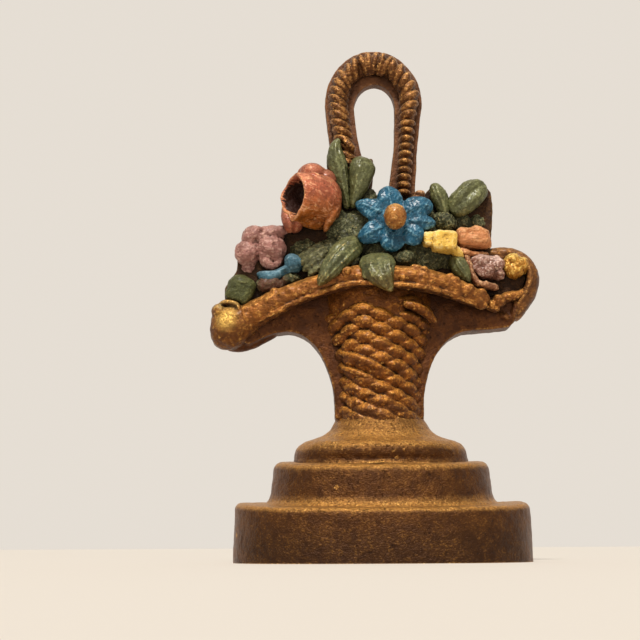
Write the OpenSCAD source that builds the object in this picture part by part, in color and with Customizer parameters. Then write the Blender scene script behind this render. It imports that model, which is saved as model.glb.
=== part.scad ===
// Painted cast-iron door stop: a footed woven basket of flowers with a rope
// loop handle, standing on a stepped half-round base. The back is flat.
// Frame: X to the right, Z up, the front faces -Y. The origin is under the
// middle of the bounding box, on the flat bottom of the base.

/* [Overall] */
// Full height, up to the top of the loop handle
full_h = 179.5; // [165:0.5:195]
// Full width, across the two scrolls of the rim
full_w = 113.2; // [105:0.1:125]
// Full depth, from the flat back to the front of the base
full_d = 36; // [32:1:44]
// How far the middle of the base stands right of the middle of the box
lean = 1; // [-2:0.1:3]

/* [Base] */
// Half width of the lower step
lower_half_w = 48.8; // [44:0.1:54]
// Height of the lower step
lower_h = 19.5; // [16:0.5:23]
// Half width of the middle step
middle_half_w = 35.9; // [32:0.1:40]
// Depth of the middle step
middle_d = 28; // [24:1:31]
// Height of the top of the middle step
middle_top = 33; // [30:0.5:34]
// Half width of the upper step
upper_half_w = 28.6; // [26:0.1:31]
// Depth of the upper step
upper_d = 22; // [20:1:24]
// Height of the shoulder of the upper step
upper_top = 40; // [38:0.5:41]
// Slope of the tops of the steps towards the front
step_draft = 4.5; // [2:0.5:7]
// Radius of the rounded edges of the steps
step_round = 2.6; // [1.5:0.1:3.5]

/* [Basket] */
// Thickness of the flat web of the basket
web_t = 7; // [5:0.5:8]
// Half width of the stem
stem_half_w = 15; // [13:0.5:17]
// Height at which the stem is narrowest
stem_waist = 50; // [47:1:54]
// Height of the underside of the rim's arms
wing_h = 76.4; // [74:0.2:79]
// Depth of the woven front of the stem
weave_d = 16; // [13:0.5:18]
// Rows of woven strands
weave_rows = 11; // [8:1:13]
// Strands across the widest row
weave_columns = 6; // [5:1:8]
// Front of the rim at the middle of the basket
rim_d = 19; // [17:0.5:21]

/* [Handle] */
// Thickness of the flat flange of the handle
flange_t = 4; // [3:0.5:5]
// Front of the rope
rope_d = 9; // [7:0.5:10]
// Thickness of the rope
rope_w = 8; // [6:0.1:9]
// Middle of the arch, across
arch_x = -0.6; // [-2:0.1:2]
// Height of the middle of the arch
arch_h = 159; // [155:0.5:162]

/* [Flowers] */
// Thickness of the bed that the flowers stand on
bed_t = 7; // [5:0.5:8]
// Front of the rose
rose_d = 21; // [18:0.5:23]
// Front of the ball in the middle of the blue flower
ball_d = 22; // [19:0.5:24]
// Middle of the blue flower, across
blue_x = 5; // [3:0.5:7]
// Height of the middle of the blue flower
blue_h = 112.5; // [110:0.5:115]
// Radius of the ball of the blue flower
ball_r = 4.4; // [3.5:0.1:5]

/* [Hidden] */
back_y = full_d / 2;
slice = 0.02;
thin = 0.4;
bronze = [0.45, 0.29, 0.13];
flat_brown = [0.45, 0.30, 0.20];
gold = [0.72, 0.50, 0.20];
leaf_green = [0.36, 0.40, 0.25];
dark_green = [0.18, 0.20, 0.12];
rose_red = [0.75, 0.42, 0.27];
mauve = [0.65, 0.45, 0.42];
blue = [0.15, 0.45, 0.60];
pale_blue = [0.30, 0.48, 0.52];
yellow = [0.93, 0.75, 0.35];
peach = [0.80, 0.52, 0.32];

// --- shapes shared by the sub-parts ---

function mix(a, b, t) = a + (b - a) * t;
function middle(points) = [for (i = [0, 1]) sum_of([for (p = points) p[i]]) / len(points)];
function sum_of(v, i = 0) = i < len(v) ? v[i] + sum_of(v, i + 1) : 0;

// Points on an elliptic arc, from angle a0 to a1
function arc(cx, cy, rx, ry, a0, a1, n = 16) =
    [for (i = [0:n]) let (a = mix(a0, a1, i / n)) [cx + rx * cos(a), cy + ry * sin(a)]];

// A whole ellipse, turned by the angle a
function oval(cx, cy, rx, ry, a = 0, n = 20) =
    [for (i = [0:n - 1]) let (t = 360 * i / n, x = rx * cos(t), y = ry * sin(t))
        [cx + x * cos(a) - y * sin(a), cy + x * sin(a) + y * cos(a)]];

// Half of a superellipse, with its flat side on the back plane
function half_plan(rx, ry, power = 2.3, n = 32) =
    [for (i = [0:n]) let (a = 180 * i / n, c = cos(a), s = sin(a))
        [rx * sign(c) * pow(abs(c), 2 / power), -ry * pow(s, 2 / power)]];

// Outline of a pointed leaf that is widest at the share belly of its length
function leaf_plan(root, tip, w, belly = 0.45, n = 8) =
    let (run = tip - root, side = [-run[1], run[0]] / norm(run) * w / 2)
    concat(
        [for (i = [0:n]) root + run * i / n + side * leaf_swell(i / n, belly)],
        [for (i = [n - 1:-1:1]) root + run * i / n - side * leaf_swell(i / n, belly)]
    );
function leaf_swell(t, belly) = sin(180 * pow(t, ln(0.5) / ln(belly)));

// Lays a relief on the back plane: x across from the middle of the base, y up
// and z out to the front
module relief() {
    translate([lean, back_y, 0]) rotate([90, 0, 0]) children();
}

// A flat plate with the outline given
module plate(points, z0, z1) {
    translate([0, 0, z0]) linear_extrude(z1 - z0) polygon(points);
}

// A dome over a convex outline, from the depth z0 out to z1
module mound(points, z0, z1, steps = 3) {
    c = middle(points);
    hull() for (i = [0:steps])
        let (a = 84 * i / steps)
        translate([0, 0, mix(z0, z1 - slice, sin(a) / sin(84))])
            linear_extrude(slice) polygon([for (p = points) mix(c, p, cos(a * 0.96))]);
}

// A leaf with a raised midrib, from the depth z0 out to z1
module leaf(root, tip, w, z0, z1, belly = 0.45) {
    hull() {
        plate(leaf_plan(root, tip, w, belly), z0, z0 + thin);
        plate(leaf_plan(mix(root, tip, 0.05), mix(root, tip, 0.93), w * 0.7, belly),
            z0, mix(z0, z1, 0.75));
        plate(leaf_plan(mix(root, tip, 0.15), mix(root, tip, 0.85), w * 0.3, belly),
            z0, z1);
    }
}

// A ridge with a round top through the posts, each [x, y, radius, front]
module ridge(posts, z0) {
    intersection() {
        for (i = [0:len(posts) - 2]) hull() {
            post(posts[i], z0);
            post(posts[i + 1], z0);
        }
        translate([-full_w, 0, z0]) cube([2 * full_w, full_h, full_d]);
    }
}

module post(p, z0) {
    translate([p[0], p[1], z0]) cylinder(r = p[2], h = thin, $fn = 14);
    translate([p[0], p[1], p[3] - p[2]]) sphere(r = p[2], $fn = 14);
}

// Part of a step of the base between two [half width, depth, height] levels
module step_layer(low, high) {
    hull() for (l = [low, high])
        translate([lean, back_y, l[2] - slice / 2]) linear_extrude(slice)
            polygon(half_plan(l[0], l[1]));
}

// Takes away what is above a step's top, which slopes down to the front
module under_slope(top, reach) {
    intersection() {
        children();
        translate([-full_w, back_y, top]) rotate([step_draft, 0, 0])
            translate([0, -2 * reach, -2 * full_w]) cube([2 * full_w, 4 * reach, 2 * full_w]);
    }
}

// --- base ---

module base_lower_step() {
    edge = lower_half_w - step_round;
    color(bronze) under_slope(lower_h, full_d) union() {
        translate([lean, back_y, 0]) linear_extrude(lower_h - step_round)
            polygon(half_plan(lower_half_w, full_d));
        hull() for (i = [0:3]) let (a = 30 * i)
            translate([lean, back_y, lower_h - step_round * (1 - sin(a)) - (i > 0 ? slice : 0)])
                linear_extrude(slice)
                polygon(half_plan(edge + step_round * cos(a), full_d - step_round * (1 - cos(a))));
    }
}

module base_middle_step() {
    color(bronze) difference() {
        under_slope(middle_top, full_d) union() {
            step_layer([middle_half_w + 1, middle_d + 1, lower_h / 2],
                [middle_half_w, middle_d, middle_top - step_round]);
            hull() for (i = [0:3]) let (a = 30 * i)
                translate([lean, back_y, middle_top - step_round * (1 - sin(a)) - slice])
                    linear_extrude(slice)
                    polygon(half_plan(middle_half_w - step_round * (1 - cos(a)),
                        middle_d - step_round * (1 - cos(a))));
        }
        below_slope(lower_h);
    }
}

// Levels of the upper step: a bullnose below, then a cove that runs up into
// the stem
shoulder = [22.6, 19.2];
stem_foot = [stem_half_w + 0.3, 16];
function upper_levels() = concat(
    [[upper_half_w, upper_d, middle_top / 2]],
    [for (i = [0:4]) let (a = 22.5 * i) [
        mix(shoulder[0], upper_half_w, cos(a)), mix(shoulder[1], upper_d, cos(a)),
        mix(bullnose_h, upper_top, sin(a))]],
    [for (i = [1:4]) let (a = 22.5 * i) [
        mix(shoulder[0], stem_foot[0], sin(a)), mix(shoulder[1], stem_foot[1], sin(a)),
        mix(foot_h, upper_top, cos(a))]]
);
bullnose_h = 35.4;

module base_upper_step() {
    levels = upper_levels();
    color(bronze) difference() {
        for (i = [0:len(levels) - 2]) step_layer(levels[i], levels[i + 1]);
        below_slope(middle_top);
    }
}

module below_slope(top) {
    translate([-full_w, back_y, top]) rotate([step_draft, 0, 0])
        translate([0, -2 * full_d, -2 * full_w]) cube([2 * full_w, 4 * full_d, 2 * full_w]);
}

// --- basket ---

foot_h = 46.5;
wing_in = 31;

// Outline of the web: the stem, the two wings and the top edge under the flowers
function web_plan() = concat(
    [[-stem_half_w - 0.3, foot_h]],
    arc(-wing_in, stem_waist, wing_in - stem_half_w - 0.3, wing_h - stem_waist, 0, 90, 10),
    [[-36, 75.8], [-40, 74], [-44, 72], [-49, 74], [-49, 86], [-44, 86.5]],
    rim_top_line(),
    [[40, 88], [46.4, 88], [46.4, 80.4], [44, 77.6], [38.6, 76.8]],
    arc(wing_in, stem_waist, wing_in - stem_half_w + 0.5, wing_h - stem_waist, 90, 180, 10),
    [[stem_half_w - 0.5, foot_h]]
);

// Top edge of the rim, from left to right
function rim_top_line() = [
    [-38, 88.5], [-31, 92], [-25, 93.5], [-13, 97.5], [-3, 98], [15, 97],
    [20, 94.5], [25, 93], [31, 89]
];

module basket_web() {
    color(flat_brown) relief() difference() {
        plate(web_plan(), 0, web_t);
        scroll_left_raw();
        scroll_right_raw();
    }
}

// Half width and depth of the woven front at a height
weave_levels = [
    [13.4, 14.6, foot_h], [13.4, 15.2, 54], [14.2, 15.8, 62],
    [15.8, weave_d, 70], [18.6, weave_d, 77], [22.5, weave_d, 83], [22.5, weave_d, 91]
];
function level_at(h, i = 0) =
    h <= weave_levels[i + 1][2] || i == len(weave_levels) - 2
        ? mix(weave_levels[i], weave_levels[i + 1],
            (h - weave_levels[i][2]) / (weave_levels[i + 1][2] - weave_levels[i][2]))
        : level_at(h, i + 1);

module weave_core() {
    for (i = [0:len(weave_levels) - 2])
        hull() for (l = [weave_levels[i], weave_levels[i + 1]])
            translate([0, l[2], 0]) rotate([90, 0, 0]) linear_extrude(slice)
                polygon(concat(arc(0, 0, l[0], l[1] - 1, 0, 180, 16)));
}

// One slanted strand of the weave, standing proud of the core
module strand(row, place) {
    h = foot_h + 3 + row * 3.6;
    l = level_at(h);
    a = 90 - 150 * place;
    translate([l[0] * cos(a), h, (l[1] - 1) * sin(a)]) rotate([0, 90 - a, -20]) hull() {
        plate(oval(0, 0, 3.3, 1.75, 0, 8), -0.8, -0.8 + slice);
        plate(oval(0, 0, 2.2, 1, 0, 8), 0.9, 0.9 + slice);
    }
}

module basket_weave() {
    color(gold) relief() difference() {
        union() {
            weave_core();
            for (row = [0:weave_rows - 1])
                for (k = [0:weave_columns - 1])
                    strand(row, (k + 0.5 + (row % 2) / 2) / (weave_columns + 0.5) - 0.5);
        }
        translate([-full_w, 0, -full_d]) cube([2 * full_w, full_h, full_d + web_t]);
        rim_raw();
        leaf_centre_left_raw();
        leaf_centre_hanging_raw();
    }
}

// The rim's arched band: [x, height, radius, front] along its middle
rim_posts = [
    [-43.5, 83, 3.4, 10], [-37, 85.5, 3.6, 11], [-29, 88.8, 3.7, 12.5],
    [-20, 91, 3.7, 14.5], [-11, 94, 3.8, 17], [-3, 94.5, 3.9, rim_d - 1],
    [6, 93.2, 3.9, rim_d], [14, 93, 3.9, rim_d], [21, 91.2, 3.8, rim_d - 1.5],
    [28, 88.4, 3.6, 16], [35, 86, 3.3, 13.5]
];

module rim_raw() { ridge(rim_posts, web_t); }

module basket_rim() {
    color(gold) relief() difference() {
        rim_raw();
        bead_raw();
        scroll_left_raw();
    }
}

module bead_raw() { mound(oval(-10.8, 94.6, 2.1, 2.1, 0, 12), web_t, rim_d - 0.5); }
module rim_bead() {
    color(gold) relief() difference() {
        bead_raw();
        leaf_centre_left_raw();
    }
}

module tail_raw() { ridge([[37.5, 85.6, 2.6, 12], [42, 86.2, 2.4, 11], [45.4, 87.6, 2, 10]], web_t); }
module rim_tail() {
    color(gold) relief() difference() {
        tail_raw();
        rim_raw();
        scroll_right_raw();
    }
}

module scroll_left_raw() {
    mound(oval(7.8 - full_w / 2 - lean, 79.2, 7.8, 9.1, 0), 0, 11.5);
}
module rim_scroll_left() { color(gold) relief() scroll_left_raw(); }

// The right scroll is a hook that runs round the buds
scroll_r = 2.6;
scroll_edge = full_w / 2 - lean - scroll_r;
module scroll_right_raw() {
    ridge(concat(
        [[40.5, 104, scroll_r, 8], [45, 103.6, scroll_r, 8.5]],
        [for (p = arc(scroll_edge - 9.5, 94.5, 9.5, 9.2, 65, -65, 6)) [p[0], p[1], scroll_r, 9]]
    ), 0);
}
module rim_scroll_right() { color(gold) relief() scroll_right_raw(); }

// --- handle ---

// Outer and inner outlines of the flange
function flange_outer() = concat(
    [[-11, 126], [-13.5, 134], [-16.5, 145]],
    arc(arch_x, arch_h, 17.3, full_h - arch_h, 180, 0, 24),
    [[15.3, 149], [14.4, 140], [13.2, 122.5]]
);
function flange_inner() = concat(
    [[-3, 121], [-3.4, 132], [-5, 139.5], [-6.6, 147]],
    arc(-0.3, arch_h - 1.5, 7.2, 9.2, 180, 0, 20),
    [[6.4, 143], [4.6, 130], [4.4, 121]]
);

module handle_flange() {
    color(flat_brown) relief() difference() {
        plate(flange_outer(), 0, flange_t);
        plate(flange_inner(), -1, flange_t + 1);
        linear_extrude(bed_t) bed_outline();
    }
}

// Middle line of the rope: up the left leg, round the arch and down the right leg
rope_path = concat(
    [[-8.6, 132], [-10.3, 139], [-11.6, 146], [-12.5, 153]],
    arc(arch_x, arch_h, 12.3, 14.4, 180, 0, 12),
    [[11.4, 153], [10.8, 146], [10.2, 139], [9.4, 130]]
);
rope_r = rope_w / 2;

module handle_rope() {
    color(gold) relief() difference() {
        union() {
            for (i = [0:len(rope_path) - 2]) hull() for (p = [rope_path[i], rope_path[i + 1]])
                translate([p[0], p[1], rope_d - rope_r - 0.4]) sphere(r = rope_r - 0.5, $fn = 12);
            for (i = [1:len(rope_path) - 2])
                rope_strand(rope_path[i], rope_path[i + 1] - rope_path[i - 1]);
        }
        translate([-full_w, 0, -full_d]) cube([2 * full_w, 2 * full_h, full_d + flange_t]);
        linear_extrude(full_d) bed_outline();
    }
}

// One turn of the rope, laid across its run
module rope_strand(p, run) {
    turn = atan2(run[1], run[0]) + 68;
    translate([p[0], p[1], rope_d - rope_r]) rotate([0, 0, turn])
        hull() for (s = [-1, 1])
            translate([s * (rope_r - 1.5), 0, -0.6]) sphere(r = 1.5 + 0.1, $fn = 10);
}

// --- flowers: the bed and the ground between them ---

rose_mid = [-22.6, 120.4];
blue_mid = [blue_x, blue_h];

function leaf_top_narrow_plan() = leaf_plan([-11.5, 120], [-13.1, 144.6], 10, 0.55);
function leaf_top_broad_plan() = [
    [-7, 119], [-10.4, 125], [-10.6, 131], [-8.5, 136], [-4.5, 137.8], [-1.2, 138],
    [-0.8, 134.5], [-1.6, 129], [-4, 122]
];
function rose_top_plan() = oval(-22.8, 131.2, 4.8, 3.8, 10, 14);
function leaf_right_small_plan() = leaf_plan([19, 114], [20.6, 128.6], 8, 0.6);
function leaf_right_large_plan() = leaf_plan([25, 115], [37.2, 129], 11.5, 0.62);

module bed_outline() {
    polygon(concat(
        [[-44, 86.5], [-52.4, 87], [-52.6, 91.5], [-48.6, 97.6], [-48, 103.5],
         [-45.2, 109.5], [-44.6, 112], [-40, 112.8], [-33, 113]],
        [[-30, 118], [-20, 122], [-10, 123], [-3, 124], [4, 124.4], [14, 123],
         [24, 118.5], [33, 123], [37.5, 128], [39.4, 125.4], [40, 120], [39.6, 113.5],
         [38.8, 107], [39.6, 105], [48, 102.5], [51, 96], [48.5, 89], [46, 87], [40, 88]],
        [for (i = [len(rim_top_line()) - 1:-1:0]) rim_top_line()[i]]
    ));
    polygon(oval(rose_mid[0], rose_mid[1], 9.6, 12.4, -20));
    polygon(rose_top_plan());
    polygon(leaf_top_narrow_plan());
    polygon(leaf_top_broad_plan());
    polygon(leaf_right_small_plan());
    polygon(leaf_right_large_plan());
    polygon([[-12, 120], [-12.5, 134], [-9.4, 137], [-6, 120]]);
    polygon(oval(14, 122, 3, 3.2));
    polygon(oval(blue_x - 1, 117, 6, 9));
}

module flower_bed() {
    color(flat_brown) relief() difference() {
        linear_extrude(bed_t) bed_outline();
        scroll_left_raw();
        scroll_right_raw();
    }
}

// Stippled ground that fills in behind the middle of the bunch
module moss_ground() {
    color(dark_green) relief() difference() {
        union() {
            mound([[-20, 98], [-12, 99], [-3, 99.5], [14, 98.5], [22, 96.5], [24, 104],
                [21, 117], [10, 120], [-6, 119], [-14, 112]], bed_t, 11.5, 2);
        }
        blue_petals_raw();
        leaf_centre_left_raw();
        leaf_centre_hanging_raw();
        stems_raw();
        rose_right_raw();
        rose_rolled_raw();
        moss_lump_raw();
        yellow_raw();
        rim_raw();
        leaf_top_broad_raw();
        leaf_top_narrow_raw();
        leaf_right_small_raw();
    }
}

module moss_lump_raw() { mound(oval(22.4, 114.2, 4.4, 3.4, -20, 12), bed_t, 12.5); }
module moss_lump() {
    color(dark_green) relief() difference() {
        moss_lump_raw();
        blue_petals_raw();
        yellow_raw();
    }
}

// Three stems that hang beside the centre leaf
module stems_raw() {
    for (i = [0:2])
        ridge([[-19.5 + 2.6 * i, 107 - i, 1.1, 12], [-22.3 + 2.2 * i, 98.8 + 0.8 * i, 1.1, 12.5]], bed_t);
}
module stems() {
    color(leaf_green) relief() difference() {
        stems_raw();
        leaf_centre_left_raw();
        rose_rolled_raw();
    }
}

// --- flowers: the rose ---

module rose_rolled_raw() {
    difference() {
        rose_solid_core();
        mound(oval(-29.2, 120.6, 3.2, 6.2, 0, 14), rose_d - 7, rose_d + 9);
    }
}
module rose_rolled_petal() { color(rose_red) relief() rose_rolled_raw(); }

module rose_right_raw() { mound(oval(-19.8, 119.6, 8, 10.6, 12), bed_t, rose_d - 1); }
module rose_right_petal() {
    color(rose_red) relief() difference() {
        rose_right_raw();
        rose_solid_core();
    }
}
module rose_solid_core() { mound(oval(-28.3, 119.4, 5.2, 10.2, -8), bed_t, rose_d); }

module rose_top_petal() {
    color(rose_red) relief() difference() {
        mound(rose_top_plan(), bed_t, 15.5);
        rose_solid_core();
        rose_right_raw();
    }
}

module rose_lower_petal() {
    color(rose_red) relief() difference() {
        mound(oval(-27.6, 110.6, 5.8, 4.4, 0, 14), bed_t, 15);
        rose_solid_core();
        rose_right_raw();
    }
}

// --- flowers: the blue flower ---

// Each petal's tip, from the middle of the flower
blue_tips = [[-1.2, 13], [13.4, 6], [13.6, -0.6], [9.4, -7.6], [-0.6, -10.4], [-12.2, -4.8], [-13, 6.8]];

module blue_petals_raw() {
    for (t = blue_tips) hull() {
        translate([blue_x, blue_h, 11]) plate(leaf_plan([0, 0] + t * 0.1, t, 8.6, 0.6), 0, thin);
        translate([blue_x, blue_h, 11]) plate(leaf_plan([0, 0] + t * 0.12, t * 0.86, 5.6, 0.6), 0, 5.4);
    }
    mound(oval(blue_x, blue_h, 5.6, 5.6, 0, 16), bed_t, 17);
}
module blue_petals() {
    color(blue) relief() difference() {
        blue_petals_raw();
        blue_ball_raw();
    }
}

module blue_ball_raw() {
    translate([blue_x, blue_h, ball_d - ball_r]) sphere(r = ball_r, $fn = 24);
}
module blue_ball() { color(gold) relief() blue_ball_raw(); }

module small_bud() {
    color(peach) relief() difference() {
        mound(oval(14, 122, 3, 3.2, 0, 12), bed_t, 14);
        blue_petals_raw();
    }
}

// --- flowers: the left side ---

module small_blue_raw() {
    mound(oval(-28.6, 99, 2.9, 3.4, 0, 12), bed_t, 12);
    mound(oval(-33.4, 97, 4.2, 2.2, 20, 12), bed_t, 11);
    mound(oval(-38, 94.8, 2.8, 2.6, 0, 12), bed_t, 11);
}
module small_blue_flower() {
    color(pale_blue) relief() difference() {
        small_blue_raw();
        rim_raw();
    }
}

module mauve_left_raw() {
    mound(oval(-43.4, 105.5, 5.2, 7.4, 10, 14), bed_t, 12);
    mound(oval(-35.4, 107.6, 5.6, 6, 0, 14), bed_t, 11.5);
    mound(oval(-37.4, 101.8, 6, 4.4, 20, 14), bed_t, 11);
}
module mauve_flower_left() {
    color(mauve) relief() difference() {
        mauve_left_raw();
        mound(oval(-43, 100.6, 1.8, 2.6, -20, 10), bed_t + 1.5, 16);
        rose_solid_core();
        small_blue_raw();
    }
}

module green_bud() {
    color(leaf_green) relief() difference() {
        mound(oval(-47.4, 91.6, 5.4, 6, 20, 16), bed_t, 11);
        mauve_left_raw();
        rim_raw();
        scroll_left_raw();
        small_blue_raw();
    }
}

// --- flowers: the right side ---

module yellow_raw() {
    mound(oval(17.4, 106.6, 2.4, 3.2, 10, 12), bed_t, 14);
    mound([[18.2, 103], [25.6, 103], [26, 109.6], [18, 109.8]], bed_t, 17);
    mound(oval(26.6, 101.8, 2.6, 2.6, 0, 10), bed_t, 13);
}
module yellow_flower() {
    color(yellow) relief() difference() {
        yellow_raw();
        blue_petals_raw();
    }
}

module peach_raw() {
    mound([[26, 105], [27, 110.4], [32.5, 112.2], [36, 111], [38.8, 105.2], [33, 103]], bed_t, 14);
}
module peach_flower() {
    color(peach) relief() difference() {
        peach_raw();
        yellow_raw();
    }
}

module mauve_right_raw() { mound(oval(36.6, 97.4, 5.8, 5.8, 0, 16), bed_t, 13); }
module mauve_flower_right() {
    color(mauve) relief() difference() {
        mauve_right_raw();
        rim_raw();
        curled_raw();
    }
}

// Curled edge under the mauve flower on the right
module curled_raw() {
    ridge([[29.4, 99.2, 1.3, 11.5], [30.6, 95, 1.3, 12], [34, 91.6, 1.3, 12],
        [38.4, 90.6, 1.3, 12], [41.4, 89.8, 1.3, 11]], bed_t);
}
module curled_petal() {
    color(peach) relief() difference() {
        curled_raw();
        rim_raw();
        tail_raw();
    }
}

module gold_bud() {
    color(gold) relief() difference() {
        mound(oval(46.6, 98.6, 4.6, 4.8, 0, 14), bed_t, 12);
        mauve_right_raw();
    }
}

// --- leaves ---

// Fronts of the two leaves that hang over the rim
left_leaf_d = 20;
hanging_leaf_d = 22.5;

module leaf_top_narrow_raw() { leaf([-11.5, 120], [-13.1, 144.6], 10, bed_t, 11, 0.55); }
module leaf_top_narrow() {
    color(leaf_green) relief() difference() {
        leaf_top_narrow_raw();
        rose_right_raw();
        leaf_top_broad_raw();
    }
}

module leaf_top_broad_raw() { mound(leaf_top_broad_plan(), bed_t, 12); }
module leaf_top_broad() {
    color(leaf_green) relief() difference() {
        leaf_top_broad_raw();
        blue_petals_raw();
    }
}

module leaf_right_small_raw() { leaf([19, 114], [20.6, 128.6], 8, bed_t, 11, 0.6); }
module leaf_right_small() {
    color(leaf_green) relief() difference() {
        leaf_right_small_raw();
        blue_petals_raw();
        moss_lump_raw();
        leaf_right_large_raw();
    }
}

module leaf_right_large_raw() { leaf([25, 115], [37.2, 129], 11.5, bed_t, 12, 0.62); }
module leaf_right_large() {
    color(leaf_green) relief() difference() {
        leaf_right_large_raw();
        moss_lump_raw();
    }
}

module leaf_centre_left_raw() { leaf([-4.6, 108], [-21, 90], 13, bed_t, left_leaf_d, 0.5); }
module leaf_centre_left() {
    color(leaf_green) relief() difference() {
        leaf_centre_left_raw();
        blue_petals_raw();
        rim_raw();
    }
}

module leaf_centre_hanging_raw() { leaf([-2.4, 102.5], [3, 88], 15, bed_t, hanging_leaf_d, 0.45); }
module leaf_centre_hanging() {
    color(leaf_green) relief() difference() {
        leaf_centre_hanging_raw();
        leaf_centre_left_raw();
        blue_petals_raw();
        rim_raw();
    }
}

module leaf_lower_right() {
    color(leaf_green) relief() difference() {
        leaf([25.2, 101], [30, 90.6], 6.2, bed_t, 12.5, 0.35);
        yellow_raw();
        peach_raw();
        mauve_right_raw();
        curled_raw();
        rim_raw();
    }
}

base_lower_step();
base_middle_step();
base_upper_step();
basket_web();
basket_weave();
basket_rim();
rim_bead();
rim_tail();
rim_scroll_left();
rim_scroll_right();
handle_flange();
handle_rope();
flower_bed();
moss_ground();
moss_lump();
stems();
rose_rolled_petal();
rose_right_petal();
rose_top_petal();
rose_lower_petal();
blue_petals();
blue_ball();
small_bud();
small_blue_flower();
mauve_flower_left();
mauve_flower_right();
curled_petal();
gold_bud();
yellow_flower();
peach_flower();
green_bud();
leaf_top_narrow();
leaf_top_broad();
leaf_right_small();
leaf_right_large();
leaf_centre_left();
leaf_centre_hanging();
leaf_lower_right();
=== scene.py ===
import math
import random

import bmesh
import bpy
from mathutils import Matrix, Vector


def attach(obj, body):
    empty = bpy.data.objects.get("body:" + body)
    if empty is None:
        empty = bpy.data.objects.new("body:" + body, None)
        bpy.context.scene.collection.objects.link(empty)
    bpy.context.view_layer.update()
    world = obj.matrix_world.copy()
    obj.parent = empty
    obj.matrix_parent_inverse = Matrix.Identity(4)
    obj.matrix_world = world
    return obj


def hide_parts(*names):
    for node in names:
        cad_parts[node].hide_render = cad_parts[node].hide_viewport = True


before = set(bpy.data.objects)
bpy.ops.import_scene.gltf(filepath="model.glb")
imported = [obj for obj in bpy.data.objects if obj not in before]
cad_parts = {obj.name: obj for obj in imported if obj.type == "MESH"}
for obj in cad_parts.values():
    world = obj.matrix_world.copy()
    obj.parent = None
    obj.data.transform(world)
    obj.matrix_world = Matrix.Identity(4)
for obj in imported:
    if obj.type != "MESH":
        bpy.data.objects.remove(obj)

# Painted cast-iron door stop: a footed basket of flowers with a rope loop.
# Lengths in the piece dictionaries are in mm. A place is given as (across from
# the middle of the base, height, depth out from the flat back).

mm = 0.001
leanRight = 1.0       # middle of the base from the middle of the box
backPlane = 18.0      # where the flat back stands
bedCut = 5.0          # flowers start this far out, inside the plate behind them
smoothUnder = 60      # degrees; sharper edges stay sharp
origin = (0, 0, 0)
dice = random.Random(7)
scene = bpy.context.scene


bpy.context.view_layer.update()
for startName in ("Cube", "Light", "Camera"):
    if startName in bpy.data.objects:
        bpy.data.objects.remove(bpy.data.objects[startName])


# ---- small helpers for putting pieces together ----

def spot(x, h, d):
    return Vector(((x + leanRight) * mm, (backPlane - d) * mm, h * mm))


def dropSelection():
    if bpy.context.mode != "OBJECT":
        bpy.ops.object.mode_set(mode="OBJECT")
    bpy.ops.object.select_all(action="DESELECT")


def pick(*pieces):
    dropSelection()
    for piece in pieces:
        piece.select_set(True)
    bpy.context.view_layer.objects.active = pieces[0]


def newest():
    return bpy.context.view_layer.objects.active


def openMesh(piece, action="SELECT"):
    # into edit mode, with all of the piece selected or none of it
    pick(piece)
    bpy.ops.object.mode_set(mode="EDIT")
    bpy.ops.mesh.select_all(action=action)


def closeMesh():
    bpy.ops.object.mode_set(mode="OBJECT")


def settle(*pieces):
    pick(*pieces)
    bpy.ops.object.transform_apply(location=True, rotation=True, scale=True)


def useModifier(piece, kind, **values):
    pick(piece)
    modifier = piece.modifiers.new(kind.title(), kind)
    for key, value in values.items():
        setattr(modifier, key, value)
    bpy.ops.object.modifier_apply(modifier=modifier.name)


def joined(parts):
    pick(*parts)
    if len(parts) > 1:
        bpy.ops.object.join()
    return newest()


def copyOf(piece):
    pick(piece)
    bpy.ops.object.duplicate()
    return newest()


def faceOut(piece):
    openMesh(piece)
    bpy.ops.mesh.remove_doubles(threshold=0.00001)
    bpy.ops.mesh.normals_make_consistent(inside=False)
    closeMesh()


def ball(x, h, d, rx, rh, rd, turn=0.0):
    dropSelection()
    bpy.ops.mesh.primitive_uv_sphere_add(
        segments=28, ring_count=18, radius=mm, location=spot(x, h, d),
        scale=(rx, rd, rh), rotation=(0, math.radians(turn), 0))
    piece = newest()
    settle(piece)
    return piece


def block(x, h, d, rx, rh, rd, soft, turn=0.0):
    # a box with soft edges, half sizes given
    dropSelection()
    bpy.ops.mesh.primitive_cube_add(
        size=2 * mm, location=spot(x, h, d), scale=(rx, rd, rh),
        rotation=(0, math.radians(turn), 0))
    piece = newest()
    settle(piece)
    openMesh(piece)
    bpy.ops.mesh.bevel(offset=soft * mm, segments=4, affect="EDGES")
    closeMesh()
    faceOut(piece)
    return piece


# How the front middle point of a ring, and the points beside it, stand in or out
ringProfiles = {"round": (0.0, 0.0), "ridge": (-0.24, 0.10), "groove": (0.42, -0.06)}


def headings(stations):
    # the way a run goes at each station, with no jump of a whole turn
    angles = []
    for i in range(len(stations)):
        a, b = stations[max(i - 1, 0)], stations[min(i + 1, len(stations) - 1)]
        angle = math.atan2(b[0] - a[0], b[1] - a[1])
        if angles:
            angle -= 2 * math.pi * round((angle - angles[-1]) / (2 * math.pi))
        angles.append(angle)
    return angles


def shapeRing(sides, profile):
    # the ring lies flat with its front at -Y, and its points are moved one by one
    if profile == "round":
        return
    for reach, move in enumerate(ringProfiles[profile]):
        ring = bmesh.from_edit_mesh(newest().data)
        ring.verts.ensure_lookup_table()
        half = sides // 2
        bpy.ops.mesh.select_all(action="DESELECT")
        for k in {half - reach, half + reach}:
            ring.verts[k].select_set(True)
        bmesh.update_edit_mesh(newest().data)
        bpy.ops.transform.translate(value=(0, move * mm, 0))
    bpy.ops.mesh.select_all(action="SELECT")


def turnBy(angle, axis, centre):
    bpy.ops.transform.rotate(value=-angle, orient_axis=axis, orient_type="GLOBAL",
                             center_override=centre)


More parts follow.
